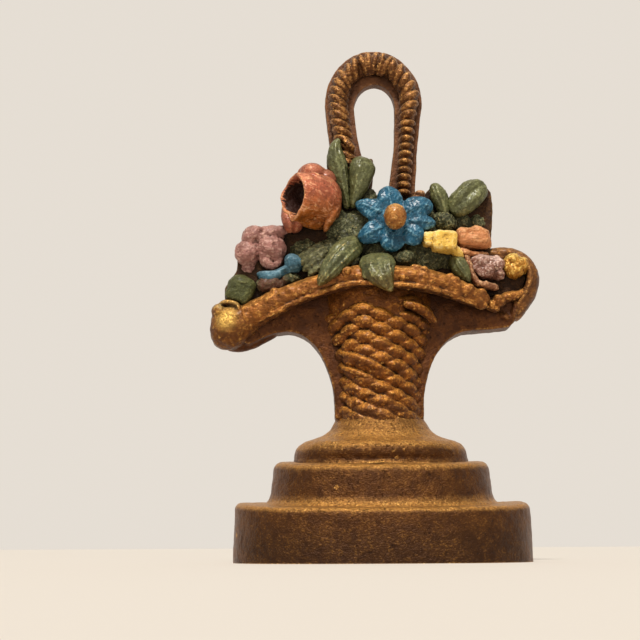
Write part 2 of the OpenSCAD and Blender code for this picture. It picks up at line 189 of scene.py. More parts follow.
def run(stations, sides=16, profile="round"):
    # a solid run through (across, height, depth, half width, half depth)
    # stations, one ring extruded from the next
    turns = headings(stations)
    x, h, d, w, t = stations[0]
    dropSelection()
    bpy.ops.mesh.primitive_circle_add(
        vertices=sides, radius=mm, fill_type="NGON", location=origin)
    piece = newest()
    openMesh(piece)
    shapeRing(sides, profile)
    bpy.ops.transform.resize(value=(w, t, 1), center_override=origin)
    turnBy(turns[0], "Y", origin)
    here = spot(x, h, d)
    bpy.ops.transform.translate(value=here)
    for i in range(1, len(stations)):
        before = here
        wide, deep = stations[i][3] / w, stations[i][4] / t
        x, h, d, w, t = stations[i]
        here = spot(x, h, d)
        bpy.ops.mesh.extrude_region_move(
            TRANSFORM_OT_translate={"value": here - before})
        turnBy(turns[i] - turns[i - 1], "Y", here)
        bpy.ops.transform.resize(value=(wide, deep, wide), center_override=here)
    closeMesh()
    faceOut(piece)
    useModifier(piece, "SUBSURF", levels=1, render_levels=1)
    return piece


def halfRing(w, deep, h, power, points):
    # a filled half-round outline, squarer than an ellipse, at the height h
    dropSelection()
    middle = spot(0, h, 0)
    bpy.ops.mesh.primitive_circle_add(vertices=points, radius=mm, fill_type="NGON",
                                      location=middle)
    ring = newest()
    settle(ring)
    for v in ring.data.vertices:
        across, out = (v.co.x - middle.x) / mm, (v.co.y - middle.y) / mm
        v.co.x = middle.x + math.copysign(abs(across) ** (2 / power), across) * w * mm
        v.co.y = middle.y + math.copysign(abs(out) ** (2 / power), out) * deep * mm
    return ring


def ringStack(levels, power, points, slope=0.0):
    # rings extruded up through (half width, depth, height); all but the first may
    # tip down to the front
    w, deep, h = levels[0]
    piece = halfRing(w, deep, h, power, points)
    openMesh(piece)
    for i in range(1, len(levels)):
        nextW, nextDeep, nextH = levels[i]
        bpy.ops.mesh.extrude_region_move(
            TRANSFORM_OT_translate={"value": (0, 0, (nextH - h) * mm)})
        hinge = spot(0, nextH, 0)
        bpy.ops.transform.resize(value=(nextW / w, nextDeep / deep, 1),
                                 center_override=hinge)
        if i == 1 and slope:
            turnBy(math.radians(slope), "X", hinge)
        w, deep, h = nextW, nextDeep, nextH
    closeMesh()
    faceOut(piece)
    return piece


def push(piece, x, h, d, move, reach):
    # pulls or presses the surface near a place, softly, as a thumb would
    target = spot(x, h, d)
    openMesh(piece, "DESELECT")
    clay = bmesh.from_edit_mesh(piece.data)
    near = min(clay.verts, key=lambda v: (v.co - target).length_squared)
    near.select_set(True)
    bmesh.update_edit_mesh(piece.data)
    bpy.ops.transform.translate(
        value=(move[0] * mm, -move[2] * mm, move[1] * mm), use_proportional_edit=True,
        proportional_edit_falloff="SMOOTH", proportional_size=reach * mm)
    closeMesh()


def roughen(piece, size, strength, kind="CLOUDS"):
    grain = bpy.data.textures.new("grain", kind)
    grain.noise_scale = size * mm
    useModifier(piece, "DISPLACE", texture=grain, texture_coords="LOCAL",
                mid_level=0.5, strength=strength * mm)
    bpy.data.textures.remove(grain)


def cutOff(piece, place, normal):
    # takes away what lies beyond a plane and closes the cut
    openMesh(piece)
    bpy.ops.mesh.bisect(plane_co=place, plane_no=normal, use_fill=True,
                        clear_outer=True)
    closeMesh()


def cutFoot(piece, height):
    cutOff(piece, (0, 0, height * mm), (0, 0, -1))


def castSkin(piece, voxel, melt, lumps):
    # melts the parts of a piece into one skin with the unevenness of a casting
    useModifier(piece, "REMESH", mode="VOXEL", voxel_size=voxel * mm)
    useModifier(piece, "SMOOTH", factor=0.5, iterations=melt)
    for size, strength in lumps:
        roughen(piece, size, strength)
    return piece


def frameCopy(nodeName, stretchBack=3.0, nearBack=0.05):
    # a merged copy of a frame solid, drawn out behind for a clean cut
    piece = bpy.data.objects.new(nodeName + "Copy", bpy.data.objects[nodeName].data.copy())
    scene.collection.objects.link(piece)
    faceOut(piece)
    openMesh(piece, "DESELECT")
    shell = bmesh.from_edit_mesh(piece.data)
    for v in shell.verts:
        v.select_set(v.co.y > (backPlane - nearBack) * mm)
    bmesh.update_edit_mesh(piece.data)
    bpy.ops.transform.translate(value=(0, stretchBack * mm, 0))
    closeMesh()
    return piece


def inFrame(name):
    # a piece called roseTopPetal stands for the frame's rose_top_petal
    return "".join("_" + c.lower() if c.isupper() else c for c in name)


def finishPiece(piece, name, paint, back=bedCut, nodes=None):
    # nodes are the frame's solids that the piece stands for, where not its namesake
    nodes = nodes or [inFrame(name)]
    cutOff(piece, spot(0, 0, back), (0, 1, 0))
    piece.name = name
    piece.data.name = name
    pick(piece)
    bpy.ops.object.shade_smooth_by_angle(angle=math.radians(smoothUnder))
    material, slotName = paints[paint]
    piece.data.materials.clear()
    piece.data.materials.append(material)
    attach(piece, "root")
    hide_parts(*nodes)


def shaped(part, sides):
    # a list is a run of stations, 8 numbers are a block, and 6 or 7 a ball
    if isinstance(part, list):
        return run(part, sides=sides)
    return block(*part) if len(part) == 8 else ball(*part)


def castPiece(name, paint, parts, skin, sides=12, pushes=(), latePushes=()):
    # shapes and joins the parts, melts them into one casting and paints it
    piece = joined([shaped(part, sides) for part in parts])
    for place, move, reach in pushes:
        push(piece, *place, move, reach)
    castSkin(piece, *skin)
    for place, move, reach in latePushes:
        push(piece, *place, move, reach)
    finishPiece(piece, name, paint)


# ---- materials ----

def feed(tree, value, socket):
    if isinstance(value, bpy.types.NodeSocket):
        tree.links.new(value, socket)
    else:
        socket.default_value = value


def addNode(tree, kind, inputs=None, **settings):
    node = tree.nodes.new(kind)
    for key, value in settings.items():
        setattr(node, key, value)
    for key, value in (inputs or {}).items():
        feed(tree, value, node.inputs[key])
    return node


def newGroup(name, **inputs):
    group = bpy.data.node_groups.new(name, "ShaderNodeTree")
    for label, value in inputs.items():
        kind = "NodeSocketFloat" if isinstance(value, float) else "NodeSocketVector"
        socket = group.interface.new_socket(label, in_out="INPUT", socket_type=kind)
        socket.default_value = value
    return group, group.nodes.new("NodeGroupInput").outputs


def giveOut(group, **results):
    for label in results:
        group.interface.new_socket(label, in_out="OUTPUT", socket_type="NodeSocketFloat")
    out = group.nodes.new("NodeGroupOutput")
    for label, value in results.items():
        feed(group, value, out.inputs[label])
    return group


def ramp(tree, source, ends):
    node = addNode(tree, "ShaderNodeMapRange",
                   {"From Min": ends[0], "From Max": ends[1], "Value": source},
                   interpolation_type="SMOOTHSTEP")
    return node.outputs["Result"]


def maths(tree, operation, a, b):
    return addNode(tree, "ShaderNodeMath", {0: a, 1: b}, operation=operation,
                   use_clamp=True).outputs[0]


def times(tree, a, b):
    return maths(tree, "MULTIPLY", a, b)


def timesPlus(tree, a, factor, more):
    return addNode(tree, "ShaderNodeMath", {0: a, 1: factor, 2: more},
                   operation="MULTIPLY_ADD").outputs[0]


def blendColours(tree, factor, a, b):
    return addNode(tree, "ShaderNodeMix", {0: factor, 6: a, 7: b},
                   data_type="RGBA").outputs[2]


def noise(tree, vector, scale, detail, roughness, distortion=0.0):
    return addNode(tree, "ShaderNodeTexNoise",
                   {"Vector": vector, "Scale": scale, "Detail": detail,
                    "Roughness": roughness, "Distortion": distortion}).outputs["Fac"]


# Noises by scale, detail, roughness and distortion; two numbers are the ends of a
# soft change
castLook = dict(coarse=(850, 4.0, 0.7), fine=(1900, 2.0, 0.6), pits=(0.41, 0.30),
                flecks=(0.54, 0.64), coarseShare=0.6, fineShare=0.35, pitDepth=0.3)
brushLook = dict(streaks=(1.0, 2.0, 0.55, 0.6), patches=(260, 3.0, 0.6, 0.8))
wearAndTopLightLook = dict(ragged=0.045, high=(0.512, 0.545), hollow=(0.492, 0.455),
                facing=(-0.15, -0.75), upward=(0.10, 0.80))


def makeCastGrain():
    # sand-cast pitting and fine grain: a height, where the pits lie, and bright flecks
    group, given = newGroup("castGrain", Vector=origin)
    coarse = noise(group, given["Vector"], *castLook["coarse"])
    fine = noise(group, given["Vector"], *castLook["fine"])
    pits = ramp(group, coarse, castLook["pits"])
    height = maths(group, "ADD", times(group, coarse, castLook["coarseShare"]),
                   times(group, fine, castLook["fineShare"]))
    height = maths(group, "SUBTRACT", height, times(group, pits, castLook["pitDepth"]))
    return giveOut(group, Height=height, Pits=pits,
                   Flecks=ramp(group, fine, castLook["flecks"]))


def makeBrushMarks():
    # streaks left by a small brush, thin across and long along
    group, given = newGroup("brushMarks", Vector=origin, Across=2200.0, Along=300.0)
    stretch = addNode(group, "ShaderNodeCombineXYZ",
                      {0: given["Along"], 1: given["Across"], 2: given["Across"]})
    scaled = addNode(group, "ShaderNodeVectorMath",
                     {0: given["Vector"], 1: stretch.outputs[0]}, operation="MULTIPLY")
    return giveOut(group, Streaks=noise(group, scaled.outputs[0], *brushLook["streaks"]),
                   Patches=noise(group, given["Vector"], *brushLook["patches"]))


def makeWearAndTopLight():
    # high spots and edges rubbed bright (worn gold paint, partly a painted highlight
    # standing in for glints along edges) and hollows left dark, by the shape's own
    # pointedness, which the breakup shifts a little; Upward picks out surfaces
    # facing up, which the paints lighten as painted top light
    group, given = newGroup("wear", Breakup=0.5)
    shape = addNode(group, "ShaderNodeNewGeometry").outputs
    shifted = timesPlus(group, given["Breakup"], wearAndTopLightLook["ragged"],
                        -wearAndTopLightLook["ragged"] / 2)
    total = addNode(group, "ShaderNodeMath", {0: shape["Pointiness"], 1: shifted},
                    operation="ADD").outputs[0]
    facing = addNode(group, "ShaderNodeSeparateXYZ", {0: shape["Normal"]}).outputs
    return giveOut(group, High=ramp(group, total, wearAndTopLightLook["high"]),
                   Hollow=ramp(group, total, wearAndTopLightLook["hollow"]),
                   Facing=ramp(group, facing[1], wearAndTopLightLook["facing"]),
                   Upward=ramp(group, facing[2], wearAndTopLightLook["upward"]))


def srgb(r, g, b):
    return tuple(((c + 0.055) / 1.055) ** 2.4 if c > 0.04045 else c / 12.92
                 for c in (r, g, b)) + (1.0,)


castGrain, brushMarks, wear = makeCastGrain(), makeBrushMarks(), makeWearAndTopLight()
# What all the paints share; two numbers are the ends of a soft change
brush = dict(patches=(0.36, 0.64), patchLeast=0.30, dryStreaks=(0.50, 0.64),
             dryPatches=(0.38, 0.62), topStreaks=(0.3, 0.7), topLeast=0.35,
             highLeast=0.30, hollowWash=0.7, pitWash=0.55, occlusionShade=(0.66, 0.20),
             occlusionShadeStrength=0.85, lowRagged=5.0, markRagged=4.0, markStreaks=(0.47, 0.58))
surface = dict(gilt=(0.93, 0.74, 0.42), giltMetal=0.4, smoother=0.10, rougher=0.16,
               specular=0.2, coatRoughness=0.22, streakRelief=0.6, bump=0.9)


def makePaint(name, slot, body, shade, bright, side=None, low=None, turn=0, across=1300,
              along=170, metal=0.3, gloss=0.38, grain=0.55, gilt=0.5, dry=0.5,
              paintedTopLight=0.25, reach=3.5, coat=0.08, blotch=0.7, mark=None):
    # brushed metallic paint over cast iron: body colour in soft patches, a
    # dry-brushed bright tone and gilt on the high spots, a dark wash in the
    # hollows; surfaces facing up are lightened as painted top light, and ambient
    # occlusion out to reach darkens creases, recesses and undersides as painted
    # shade with some dark wash; low is the tone it passes into further down and
    # the two heights of that change in mm; mark is a round patch: its place,
    # inner and outer reach, its tone and how solid it is
    body, shade, bright = srgb(*body), srgb(*shade), srgb(*bright)
    material = bpy.data.materials.new(name)
    material.use_nodes = True
    tree = material.node_tree
    place = addNode(tree, "ShaderNodeTexCoord").outputs["Object"]
    turned = addNode(tree, "ShaderNodeMapping",
                     {"Rotation": (0, math.radians(turn), 0), "Vector": place}).outputs[0]
    sand = addNode(tree, "ShaderNodeGroup", {"Vector": place}, node_tree=castGrain).outputs
    marks = addNode(tree, "ShaderNodeGroup",
                    {"Vector": turned, "Across": across, "Along": along},
                    node_tree=brushMarks).outputs
    streaks, patches = marks["Streaks"], marks["Patches"]
    wornAndLit = addNode(tree, "ShaderNodeGroup", {"Breakup": patches}, node_tree=wear).outputs

    colour = body
    if low is not None:
        tone, end, start = low
        height = addNode(tree, "ShaderNodeSeparateXYZ", {0: place}).outputs[2]
        level = timesPlus(tree, streaks, brush["lowRagged"] * mm, height)
        half = brush["lowRagged"] / 2
        colour = blendColours(tree, ramp(tree, level, ((end + half) * mm,
                                                       (start + half) * mm)),
                              srgb(*tone), body)
    if side is not None:
        colour = blendColours(tree, wornAndLit["Facing"], srgb(*side), colour)
    thick = addNode(tree, "ShaderNodeMapRange",
                    {"From Min": brush["patches"][0], "From Max": brush["patches"][1],
                     "To Min": brush["patchLeast"], "Value": patches})
    thin = maths(tree, "SUBTRACT", 1.0, thick.outputs["Result"])
    colour = blendColours(tree, times(tree, thin, blotch), colour, shade)
    dryMask = times(tree, ramp(tree, streaks, brush["dryStreaks"]),
                    times(tree, ramp(tree, patches, brush["dryPatches"]), dry))
    colour = blendColours(tree, dryMask, colour, bright)
    # surfaces facing up are lightened, broken by the streaks: painted top light
    broken = maths(tree, "ADD", ramp(tree, streaks, brush["topStreaks"]), brush["topLeast"])
    paintedTopLightMask = times(tree, wornAndLit["Upward"], times(tree, broken, paintedTopLight))
    colour = blendColours(tree, paintedTopLightMask, colour, bright)
    # high spots and edges lightened: worn gold paint, partly painted highlight
    highMask = times(tree, wornAndLit["High"], maths(tree, "ADD", dryMask, brush["highLeast"]))
    colour = blendColours(tree, highMask, colour, bright)
    # gilt flecks on the high spots and on the painted top light
    giltAndTopGlintMask = times(tree, maths(tree, "MAXIMUM", wornAndLit["High"], paintedTopLightMask),
                     times(tree, sand["Flecks"], gilt))
    colour = blendColours(tree, giltAndTopGlintMask, colour, srgb(*surface["gilt"]))
    darkMask = maths(tree, "MAXIMUM", times(tree, wornAndLit["Hollow"], brush["hollowWash"]),
                     times(tree, sand["Pits"], brush["pitWash"]))
    colour = blendColours(tree, darkMask, colour, shade)
    # ambient occlusion darkens creases, recesses and the undersides of overhangs out to
    # reach: painted shade, with some dark wash
    occlusionShade = addNode(tree, "ShaderNodeAmbientOcclusion", {"Distance": reach * mm},
                      samples=4)
    occlusionShadeMask = times(tree, ramp(tree, occlusionShade.outputs["AO"], brush["occlusionShade"]),
                   brush["occlusionShadeStrength"])
    colour = blendColours(tree, occlusionShadeMask, colour, shade)
    if mark is not None:
        x, h, d, inner, outer, tone, solid = mark
        away = addNode(tree, "ShaderNodeVectorMath", {0: place, 1: spot(x, h, d)},
                       operation="DISTANCE").outputs["Value"]
        ragged = timesPlus(tree, streaks, brush["markRagged"] * mm, away)
        half = brush["markRagged"] / 2
        patch = times(tree, maths(tree, "ADD", solid,
                                  ramp(tree, streaks, brush["markStreaks"])),
                      ramp(tree, ragged, ((outer + half) * mm, (inner + half) * mm)))
        colour = blendColours(tree, patch, colour, srgb(*tone))

    rough = addNode(tree, "ShaderNodeMapRange",
                    {"To Min": gloss - surface["smoother"],
                     "To Max": gloss + surface["rougher"], "Value": patches})
    shine = addNode(tree, "ShaderNodeMapRange",
                    {"To Min": metal, "To Max": min(1.0, metal + surface["giltMetal"]),
                     "Value": giltAndTopGlintMask})
    relief = timesPlus(tree, streaks, surface["streakRelief"], sand["Height"])
    bump = addNode(tree, "ShaderNodeBump", {"Strength": surface["bump"],
                                            "Distance": grain * mm, "Height": relief})
    shader = tree.nodes["Principled BSDF"].inputs
    for label, value in {"Base Color": colour, "Roughness": rough.outputs["Result"],
                         "Metallic": shine.outputs["Result"],
                         "Specular IOR Level": surface["specular"], "Coat Weight": coat,
                         "Coat Roughness": surface["coatRoughness"],
                         "Normal": bump.outputs["Normal"]}.items():
        feed(tree, value, shader[label])
    return material, slot


print("paints")
sideBrown, darkBrown = (0.44, 0.29, 0.19), (0.13, 0.06, 0.03)
nearBlack, leafShade = (0.09, 0.035, 0.01), (0.11, 0.10, 0.04)
paintBook = {
    "bronze": dict(slot="bronze_paint", body=(0.33, 0.195, 0.075), shade=darkBrown,
                   bright=(0.84, 0.60, 0.29), side=sideBrown,
                   low=((0.26, 0.155, 0.065), 3, 17), across=2100, along=1200, metal=0.5,
                   gloss=0.34, gilt=0.8, dry=0.12, paintedTopLight=0.55, coat=0.0, grain=0.5,
                   blotch=0.6),
    "gold": dict(slot="gold_paint", body=(0.54, 0.32, 0.12), shade=darkBrown,
                 bright=(0.91, 0.64, 0.31), side=sideBrown, across=1100, along=400,
                 metal=0.45, gloss=0.36, gilt=0.9, dry=0.45, paintedTopLight=0.35),
    "brown": dict(slot="brown_paint", body=(0.43, 0.27, 0.16), shade=darkBrown,
                  bright=(0.62, 0.42, 0.25), across=1200, along=400, metal=0.2, gilt=0.2,
                  dry=0.2, paintedTopLight=0.2, coat=0.0),
    "leaf": dict(slot="green_paint", body=(0.365, 0.37, 0.215), shade=leafShade,
                 bright=(0.61, 0.62, 0.43), turn=60, metal=0.2, gilt=0.2, dry=0.35,
                 paintedTopLight=0.3, across=1100, along=600, grain=0.42, coat=0.3),
    "giltLeaf": dict(slot="green_paint", body=(0.345, 0.36, 0.22), shade=leafShade,
                     bright=(0.64, 0.64, 0.43), low=((0.40, 0.32, 0.12), 88, 96), turn=60,
                     metal=0.25, gilt=0.5, dry=0.4, paintedTopLight=0.3, across=1100, along=600,
                     grain=0.42, coat=0.3),
    "moss": dict(slot="dark_green_paint", body=(0.29, 0.30, 0.19), shade=(0.06, 0.05, 0.02),
                 bright=(0.62, 0.62, 0.46), metal=0.1, gilt=0.3, dry=0.8, across=2200,
                 along=2000, grain=0.9,
                 mark=(-36.4, 91.8, 10.6, 4.0, 6.4, (0.43, 0.28, 0.22), 0.6)),
    "stem": dict(slot="green_paint", body=(0.36, 0.355, 0.23), shade=(0.13, 0.11, 0.05),
                 bright=(0.58, 0.57, 0.40), metal=0.1, gilt=0.2, dry=0.4, along=700,
                 grain=0.5, coat=0.1),
    # the 5 mm occlusion reach and the mark, a dark patch inside the cup's mouth, are
    # painted shade
    "rose": dict(slot="rose_paint", body=(0.74, 0.39, 0.27), shade=(0.20, 0.08, 0.03),
                 bright=(0.95, 0.70, 0.52), low=((0.71, 0.40, 0.13), 112, 124), turn=-20,
                 metal=0.2, gloss=0.34, gilt=0.7, dry=0.6, paintedTopLight=0.15, reach=5.0,
                 across=1200, along=260, grain=0.6, coat=0.25,
                 mark=(-26.2, 120.8, 14.0, 5.7, 6.5, (0.17, 0.07, 0.03), 1.0)),
    "coral": dict(slot="rose_paint", body=(0.70, 0.39, 0.28), shade=(0.22, 0.09, 0.04),
                  bright=(0.93, 0.68, 0.52), turn=-20, metal=0.2, gloss=0.34, gilt=0.3,
                  paintedTopLight=0.15, across=1200, along=400, grain=0.6, coat=0.25),
    "blue": dict(slot="blue_paint", body=(0.03, 0.35, 0.47), shade=(0.01, 0.09, 0.13),
                 bright=(0.58, 0.78, 0.85), turn=50, metal=0.1, gloss=0.34, gilt=0.0,
                 dry=0.4, paintedTopLight=0.08, reach=2.4, along=600, grain=0.65, coat=0.35),
    "paleBlue": dict(slot="pale_blue_paint", body=(0.30, 0.47, 0.54),
                     shade=(0.09, 0.12, 0.13), bright=(0.64, 0.76, 0.80), metal=0.15,
                     gilt=0.0),
    "ochre": dict(slot="ochre_paint", body=(0.76, 0.49, 0.20), shade=(0.36, 0.18, 0.05),
                  bright=(0.97, 0.80, 0.50), metal=0.35, gilt=0.9, paintedTopLight=0.4, across=1600,
                  along=1400, dry=0.8, grain=0.9, coat=0.3),
    "mauve": dict(slot="mauve_paint", body=(0.66, 0.46, 0.42), shade=(0.26, 0.13, 0.08),
                  bright=(0.88, 0.72, 0.66), metal=0.1, gilt=0.2, dry=0.55),
    "yellow": dict(slot="yellow_paint", body=(1.0, 0.82, 0.38), shade=(0.52, 0.30, 0.07),
                   bright=(1.0, 0.94, 0.70), metal=0.05, gilt=0.2, blotch=0.45,
                   paintedTopLight=0.5),
    # the 8 mm occlusion reach darkens the plate between the flowers: painted shade; its
    # dark body is partly its own brown, partly the same painted shade
    "bed": dict(slot="brown_paint", body=(0.26, 0.16, 0.08), shade=(0.06, 0.03, 0.015),
                bright=(0.48, 0.35, 0.20), side=(0.48, 0.31, 0.19), across=1800,
                along=1500, metal=0.1, gloss=0.6, gilt=0.2, dry=0.4, paintedTopLight=0.2, coat=0.0,
                reach=8.0, grain=0.7),
    # the 13 mm occlusion reach darkens the web under the rim lip: painted shade
    "web": dict(slot="brown_paint", body=(0.36, 0.20, 0.08), shade=darkBrown,
                bright=(0.64, 0.42, 0.19), along=1100, metal=0.4, gilt=0.4, dry=0.15,
                paintedTopLight=0.3, coat=0.0, grain=0.4, reach=13.0),
    # the 7 mm occlusion reach darkens the grooves between the lumps: painted shade
    "weave": dict(slot="gold_paint", body=(0.49, 0.275, 0.085), shade=nearBlack,
                  bright=(0.88, 0.59, 0.23), side=sideBrown,
                  low=((0.38, 0.215, 0.075), 46, 56), across=1500, along=1200, metal=0.5,
                  gloss=0.34, gilt=0.9, dry=0.3, paintedTopLight=0.6, reach=7.0),
    "rope": dict(slot="gold_paint", body=(0.42, 0.245, 0.10), shade=nearBlack,
                 bright=(0.92, 0.67, 0.38), side=sideBrown, along=600, metal=0.5,
                 gloss=0.27, gilt=0.6, dry=0.4, paintedTopLight=0.5, reach=3.4),
    "scroll": dict(slot="gold_paint", body=(0.46, 0.285, 0.13), shade=darkBrown,
                   bright=(0.78, 0.55, 0.28), side=sideBrown, across=1500, along=500,
                   metal=0.35, gilt=0.6, dry=0.4),
    "scrollEnd": dict(slot="gold_paint", body=(0.56, 0.48, 0.30), shade=darkBrown,
                      bright=(0.92, 0.68, 0.32), side=sideBrown,
                      low=((0.47, 0.275, 0.10), 83.4, 84.6), along=900, metal=0.4,
                      gloss=0.36, gilt=0.8, dry=0.25, paintedTopLight=0.3,
                      # the mark is a bright gold patch on the scroll's face: a painted
                      # highlight
                      mark=(-51.6, 80.2, 10.4, 1.0, 5.4, (0.97, 0.78, 0.40), 0.4)),
    "bud": dict(slot="green_paint", body=(0.30, 0.31, 0.17), shade=leafShade,
                bright=(0.55, 0.55, 0.34), turn=30, metal=0.15, gilt=0.1, dry=0.35,
                gloss=0.46, across=1500, along=800),
    "palePetal": dict(slot="mauve_paint", body=(0.57, 0.38, 0.31), shade=(0.22, 0.10, 0.06),
                      bright=(0.96, 0.84, 0.78), metal=0.1, gilt=0.4, dry=0.7, paintedTopLight=0.6,
                      across=1600, along=1000, gloss=0.3, coat=0.3),
    "curl": dict(slot="peach_paint", body=(0.64, 0.43, 0.30), shade=(0.26, 0.13, 0.06),
                 bright=(0.94, 0.76, 0.58), metal=0.15, gilt=0.4, dry=0.6, paintedTopLight=0.4),
    "budGold": dict(slot="gold_paint", body=(0.72, 0.48, 0.16), shade=(0.30, 0.16, 0.05),
                    bright=(1.0, 0.86, 0.46), metal=0.35, gloss=0.32, gilt=0.8, dry=0.6,
                    paintedTopLight=0.7, across=1600, along=900, blotch=0.5),
    "peach": dict(slot="peach_paint", body=(0.82, 0.54, 0.34), shade=(0.40, 0.19, 0.08),
                  bright=(0.98, 0.79, 0.58), metal=0.08, gilt=0.3, dry=0.4, blotch=0.5,
                  across=1400, along=600),
}
paints = {name: makePaint(name + "Paint", **tones) for name, tones in paintBook.items()}


# ---- base: three half-round steps ----

def roundedTop(w, deep, top, radius, steps=5):
    angles = [math.pi / 2 * k / steps for k in range(steps + 1)]
    return [(w - radius * (1 - math.cos(a)), deep - radius * (1 - math.cos(a)),
             top - radius * (1 - math.sin(a))) for a in angles]


print("base")
base = dict(slope=4.5, points=120, steps={
    "baseLowerStep": dict(
        levels=[(49.0, 36.0, -3.0)] + roundedTop(48.6, 35.9, 19.6, 2.1), power=2.5,
        skin=(0.5, 6, ((9.0, 0.5), (2.2, 0.22), (0.9, 0.10))), foot=0.0, back=0.0),
    "baseMiddleStep": dict(
        levels=[(40.0, 31.5, 15.0), (39.0, 30.8, 19.0), (37.3, 29.2, 20.6),
                (36.6, 28.5, 22.6)] + roundedTop(35.9, 28.0, 33.0, 2.8), power=2.35,
        skin=(0.45, 8, ((8.0, 0.5), (2.2, 0.22), (0.9, 0.10))), foot=15.5, back=0.08),
    "baseUpperStep": dict(
        levels=[(29.6, 22.6, 30.0), (29.2, 21.9, 33.2), (28.9, 21.6, 34.2),
                (28.8, 22.3, 35.6), (28.4, 22.5, 37.0), (27.2, 22.0, 38.6),
                (25.2, 20.8, 39.8), (22.4, 19.3, 40.5), (19.4, 17.7, 41.6),
                (17.0, 16.4, 43.4), (15.5, 15.2, 45.8), (14.0, 14.0, 48.4),
                (12.4, 12.6, 51.4), (10.8, 11.0, 54.0), (8.6, 8.6, 56.4)], power=2.3,
        skin=(0.45, 8, ((6.0, 0.6), (2.0, 0.25), (0.9, 0.10))), foot=31.0, back=0.16)})
for name, step in base["steps"].items():
    piece = ringStack(step["levels"], step["power"], base["points"], base["slope"])
    castSkin(piece, *step["skin"])
    cutFoot(piece, step["foot"])
    finishPiece(piece, name, "bronze", step["back"])


# ---- basket: web, woven front, rim and scrolls ----

print("basket")
web = dict(ridges=[[(47.0, 88.0, 6.6, 1.1, 1.2), (46.4, 84.4, 7.2, 1.2, 1.4),
                    (45.4, 80.8, 7.0, 1.1, 1.2), (44.6, 78.4, 6.0, 0.9, 1.0)],
                   [(40.4, 82.6, 6.6, 0.9, 1.0), (42.4, 80.6, 7.4, 1.3, 1.3),
                    (44.6, 80.4, 6.8, 0.8, 1.0)]],
           leftCorner=[(-53.4, 74.2, 1.4, 3.0, 3.0), (-49.4, 73.8, 1.8, 4.2, 3.4),
                       (-44.4, 75.0, 2.0, 4.6, 3.6), (-39.0, 77.6, 2.0, 4.0, 3.2),
                       (-34.0, 79.4, 2.0, 3.6, 3.0)],
           behindHook=(45.6, 87.0, 1.6, 3.8, 4.4, 2.8),
           skin=(0.4, 14, ((7.0, 0.5), (2.0, 0.2), (0.9, 0.08))), back=0.04)
parts = [frameCopy("basket_web")] + [run(line, sides=10) for line in web["ridges"]]
parts += [run(web["leftCorner"], sides=14), ball(*web["behindHook"])]
piece = castSkin(joined(parts), *web["skin"])
finishPiece(piece, "basketWeb", "web", web["back"])

weave = dict(
    # half width and front of the half-round woven stem, by height
    stem=[(17.2, 16.8, 44.0), (16.3, 15.9, 48.0), (15.7, 15.3, 51.0), (15.5, 15.1, 54.0),
          (15.9, 15.3, 60.0), (16.7, 15.6, 66.0), (17.9, 15.7, 71.0),
          (19.4, 15.9, 76.0), (20.9, 16.0, 80.5), (22.0, 16.0, 85.0),
          (22.4, 15.6, 92.0)],
    inset=1.9,            # the smooth core stands this far inside the lumps
    firstRow=46.8, rowPitch=2.4, rows=17, columns=7, acrossPitch=11.0, jitter=0.25,
    sideArc=1.35, tallSideArc=1.45, tallFrom=62,
    # the lumps lean, and lean the other way high on the left
    slant=9.0, slantSpread=4.0, crossSlant=22.0, crossLeftOf=-8, crossFrom=66,
    # they lie flatter at the foot and smaller at the sides
    fadeLeast=0.50, fadeFrom=47.0, fadeOver=12.0, fadeSunk=0.8, sideLoss=0.10,
    sizes=(0.94, 1.05), lengths=(0.95, 1.05), heights=(0.94, 1.04),
    # they end lower in the notch between two lobes; each lobe has its middle or
    # shoulder and how fast it falls away
    lobeTop=85.4, notchTop=81.6, notch=(-2.0, 6.4), leftLobe=(-7.4, 0.45),
    rightLobe=(14.0, 0.55),
    # one plump strand end, pointed at both ends
    lump=[(-5.3, 0.0, -0.9, 0.25, 0.5), (-4.1, 0.0, -0.35, 1.05, 1.2),
          (-2.1, 0.0, 0.1, 2.1, 1.8), (0.0, 0.0, 0.2, 2.6, 1.95),
          (2.1, 0.0, 0.1, 2.1, 1.8), (4.1, 0.0, -0.35, 1.05, 1.2),
          (5.3, 0.0, -0.9, 0.25, 0.5)],
    # a few strands run on over their neighbours low down on the left, and one
    # stands clear on the right of the notch
    strays=[[(-14.0, 68.6, 8.8, 0.7, 1.2), (-10.4, 67.2, 12.3, 1.3, 1.6),
             (-5.4, 65.0, 14.5, 1.5, 1.7), (-0.8, 62.6, 14.9, 1.4, 1.6),
             (2.4, 61.0, 14.3, 0.6, 1.0)],
            [(-13.6, 63.8, 8.6, 0.7, 1.2), (-9.8, 62.0, 12.2, 1.1, 1.4),
             (-5.0, 60.0, 13.9, 1.1, 1.4), (-1.6, 58.4, 13.7, 0.6, 0.9)],
            [(7.0, 84.4, 14.2, 0.9, 1.4), (10.4, 83.6, 15.2, 1.8, 1.9),
             (15.0, 81.6, 14.2, 1.8, 1.9), (19.4, 78.0, 10.4, 1.0, 1.2)]],
    skin=(0.28, 3, ((3.0, 0.4), (0.9, 0.2))), foot=45.5)


def stemAt(h):
    for low, high in zip(weave["stem"], weave["stem"][1:]):
        if h <= high[2]:
            t = (h - low[2]) / (high[2] - low[2])
            return low[0] + (high[0] - low[0]) * t, low[1] + (high[1] - low[1]) * t
    return weave["stem"][-1][:2]


def weaveTop(x):
    start, end = weave["notch"]
    if x < start:
        middle, fall = weave["leftLobe"]
        return weave["lobeTop"] - fall * abs(x - middle)
    if x < end:
        return weave["notchTop"]
    shoulder, fall = weave["rightLobe"]
    return weave["lobeTop"] - fall * max(0.0, x - shoulder)


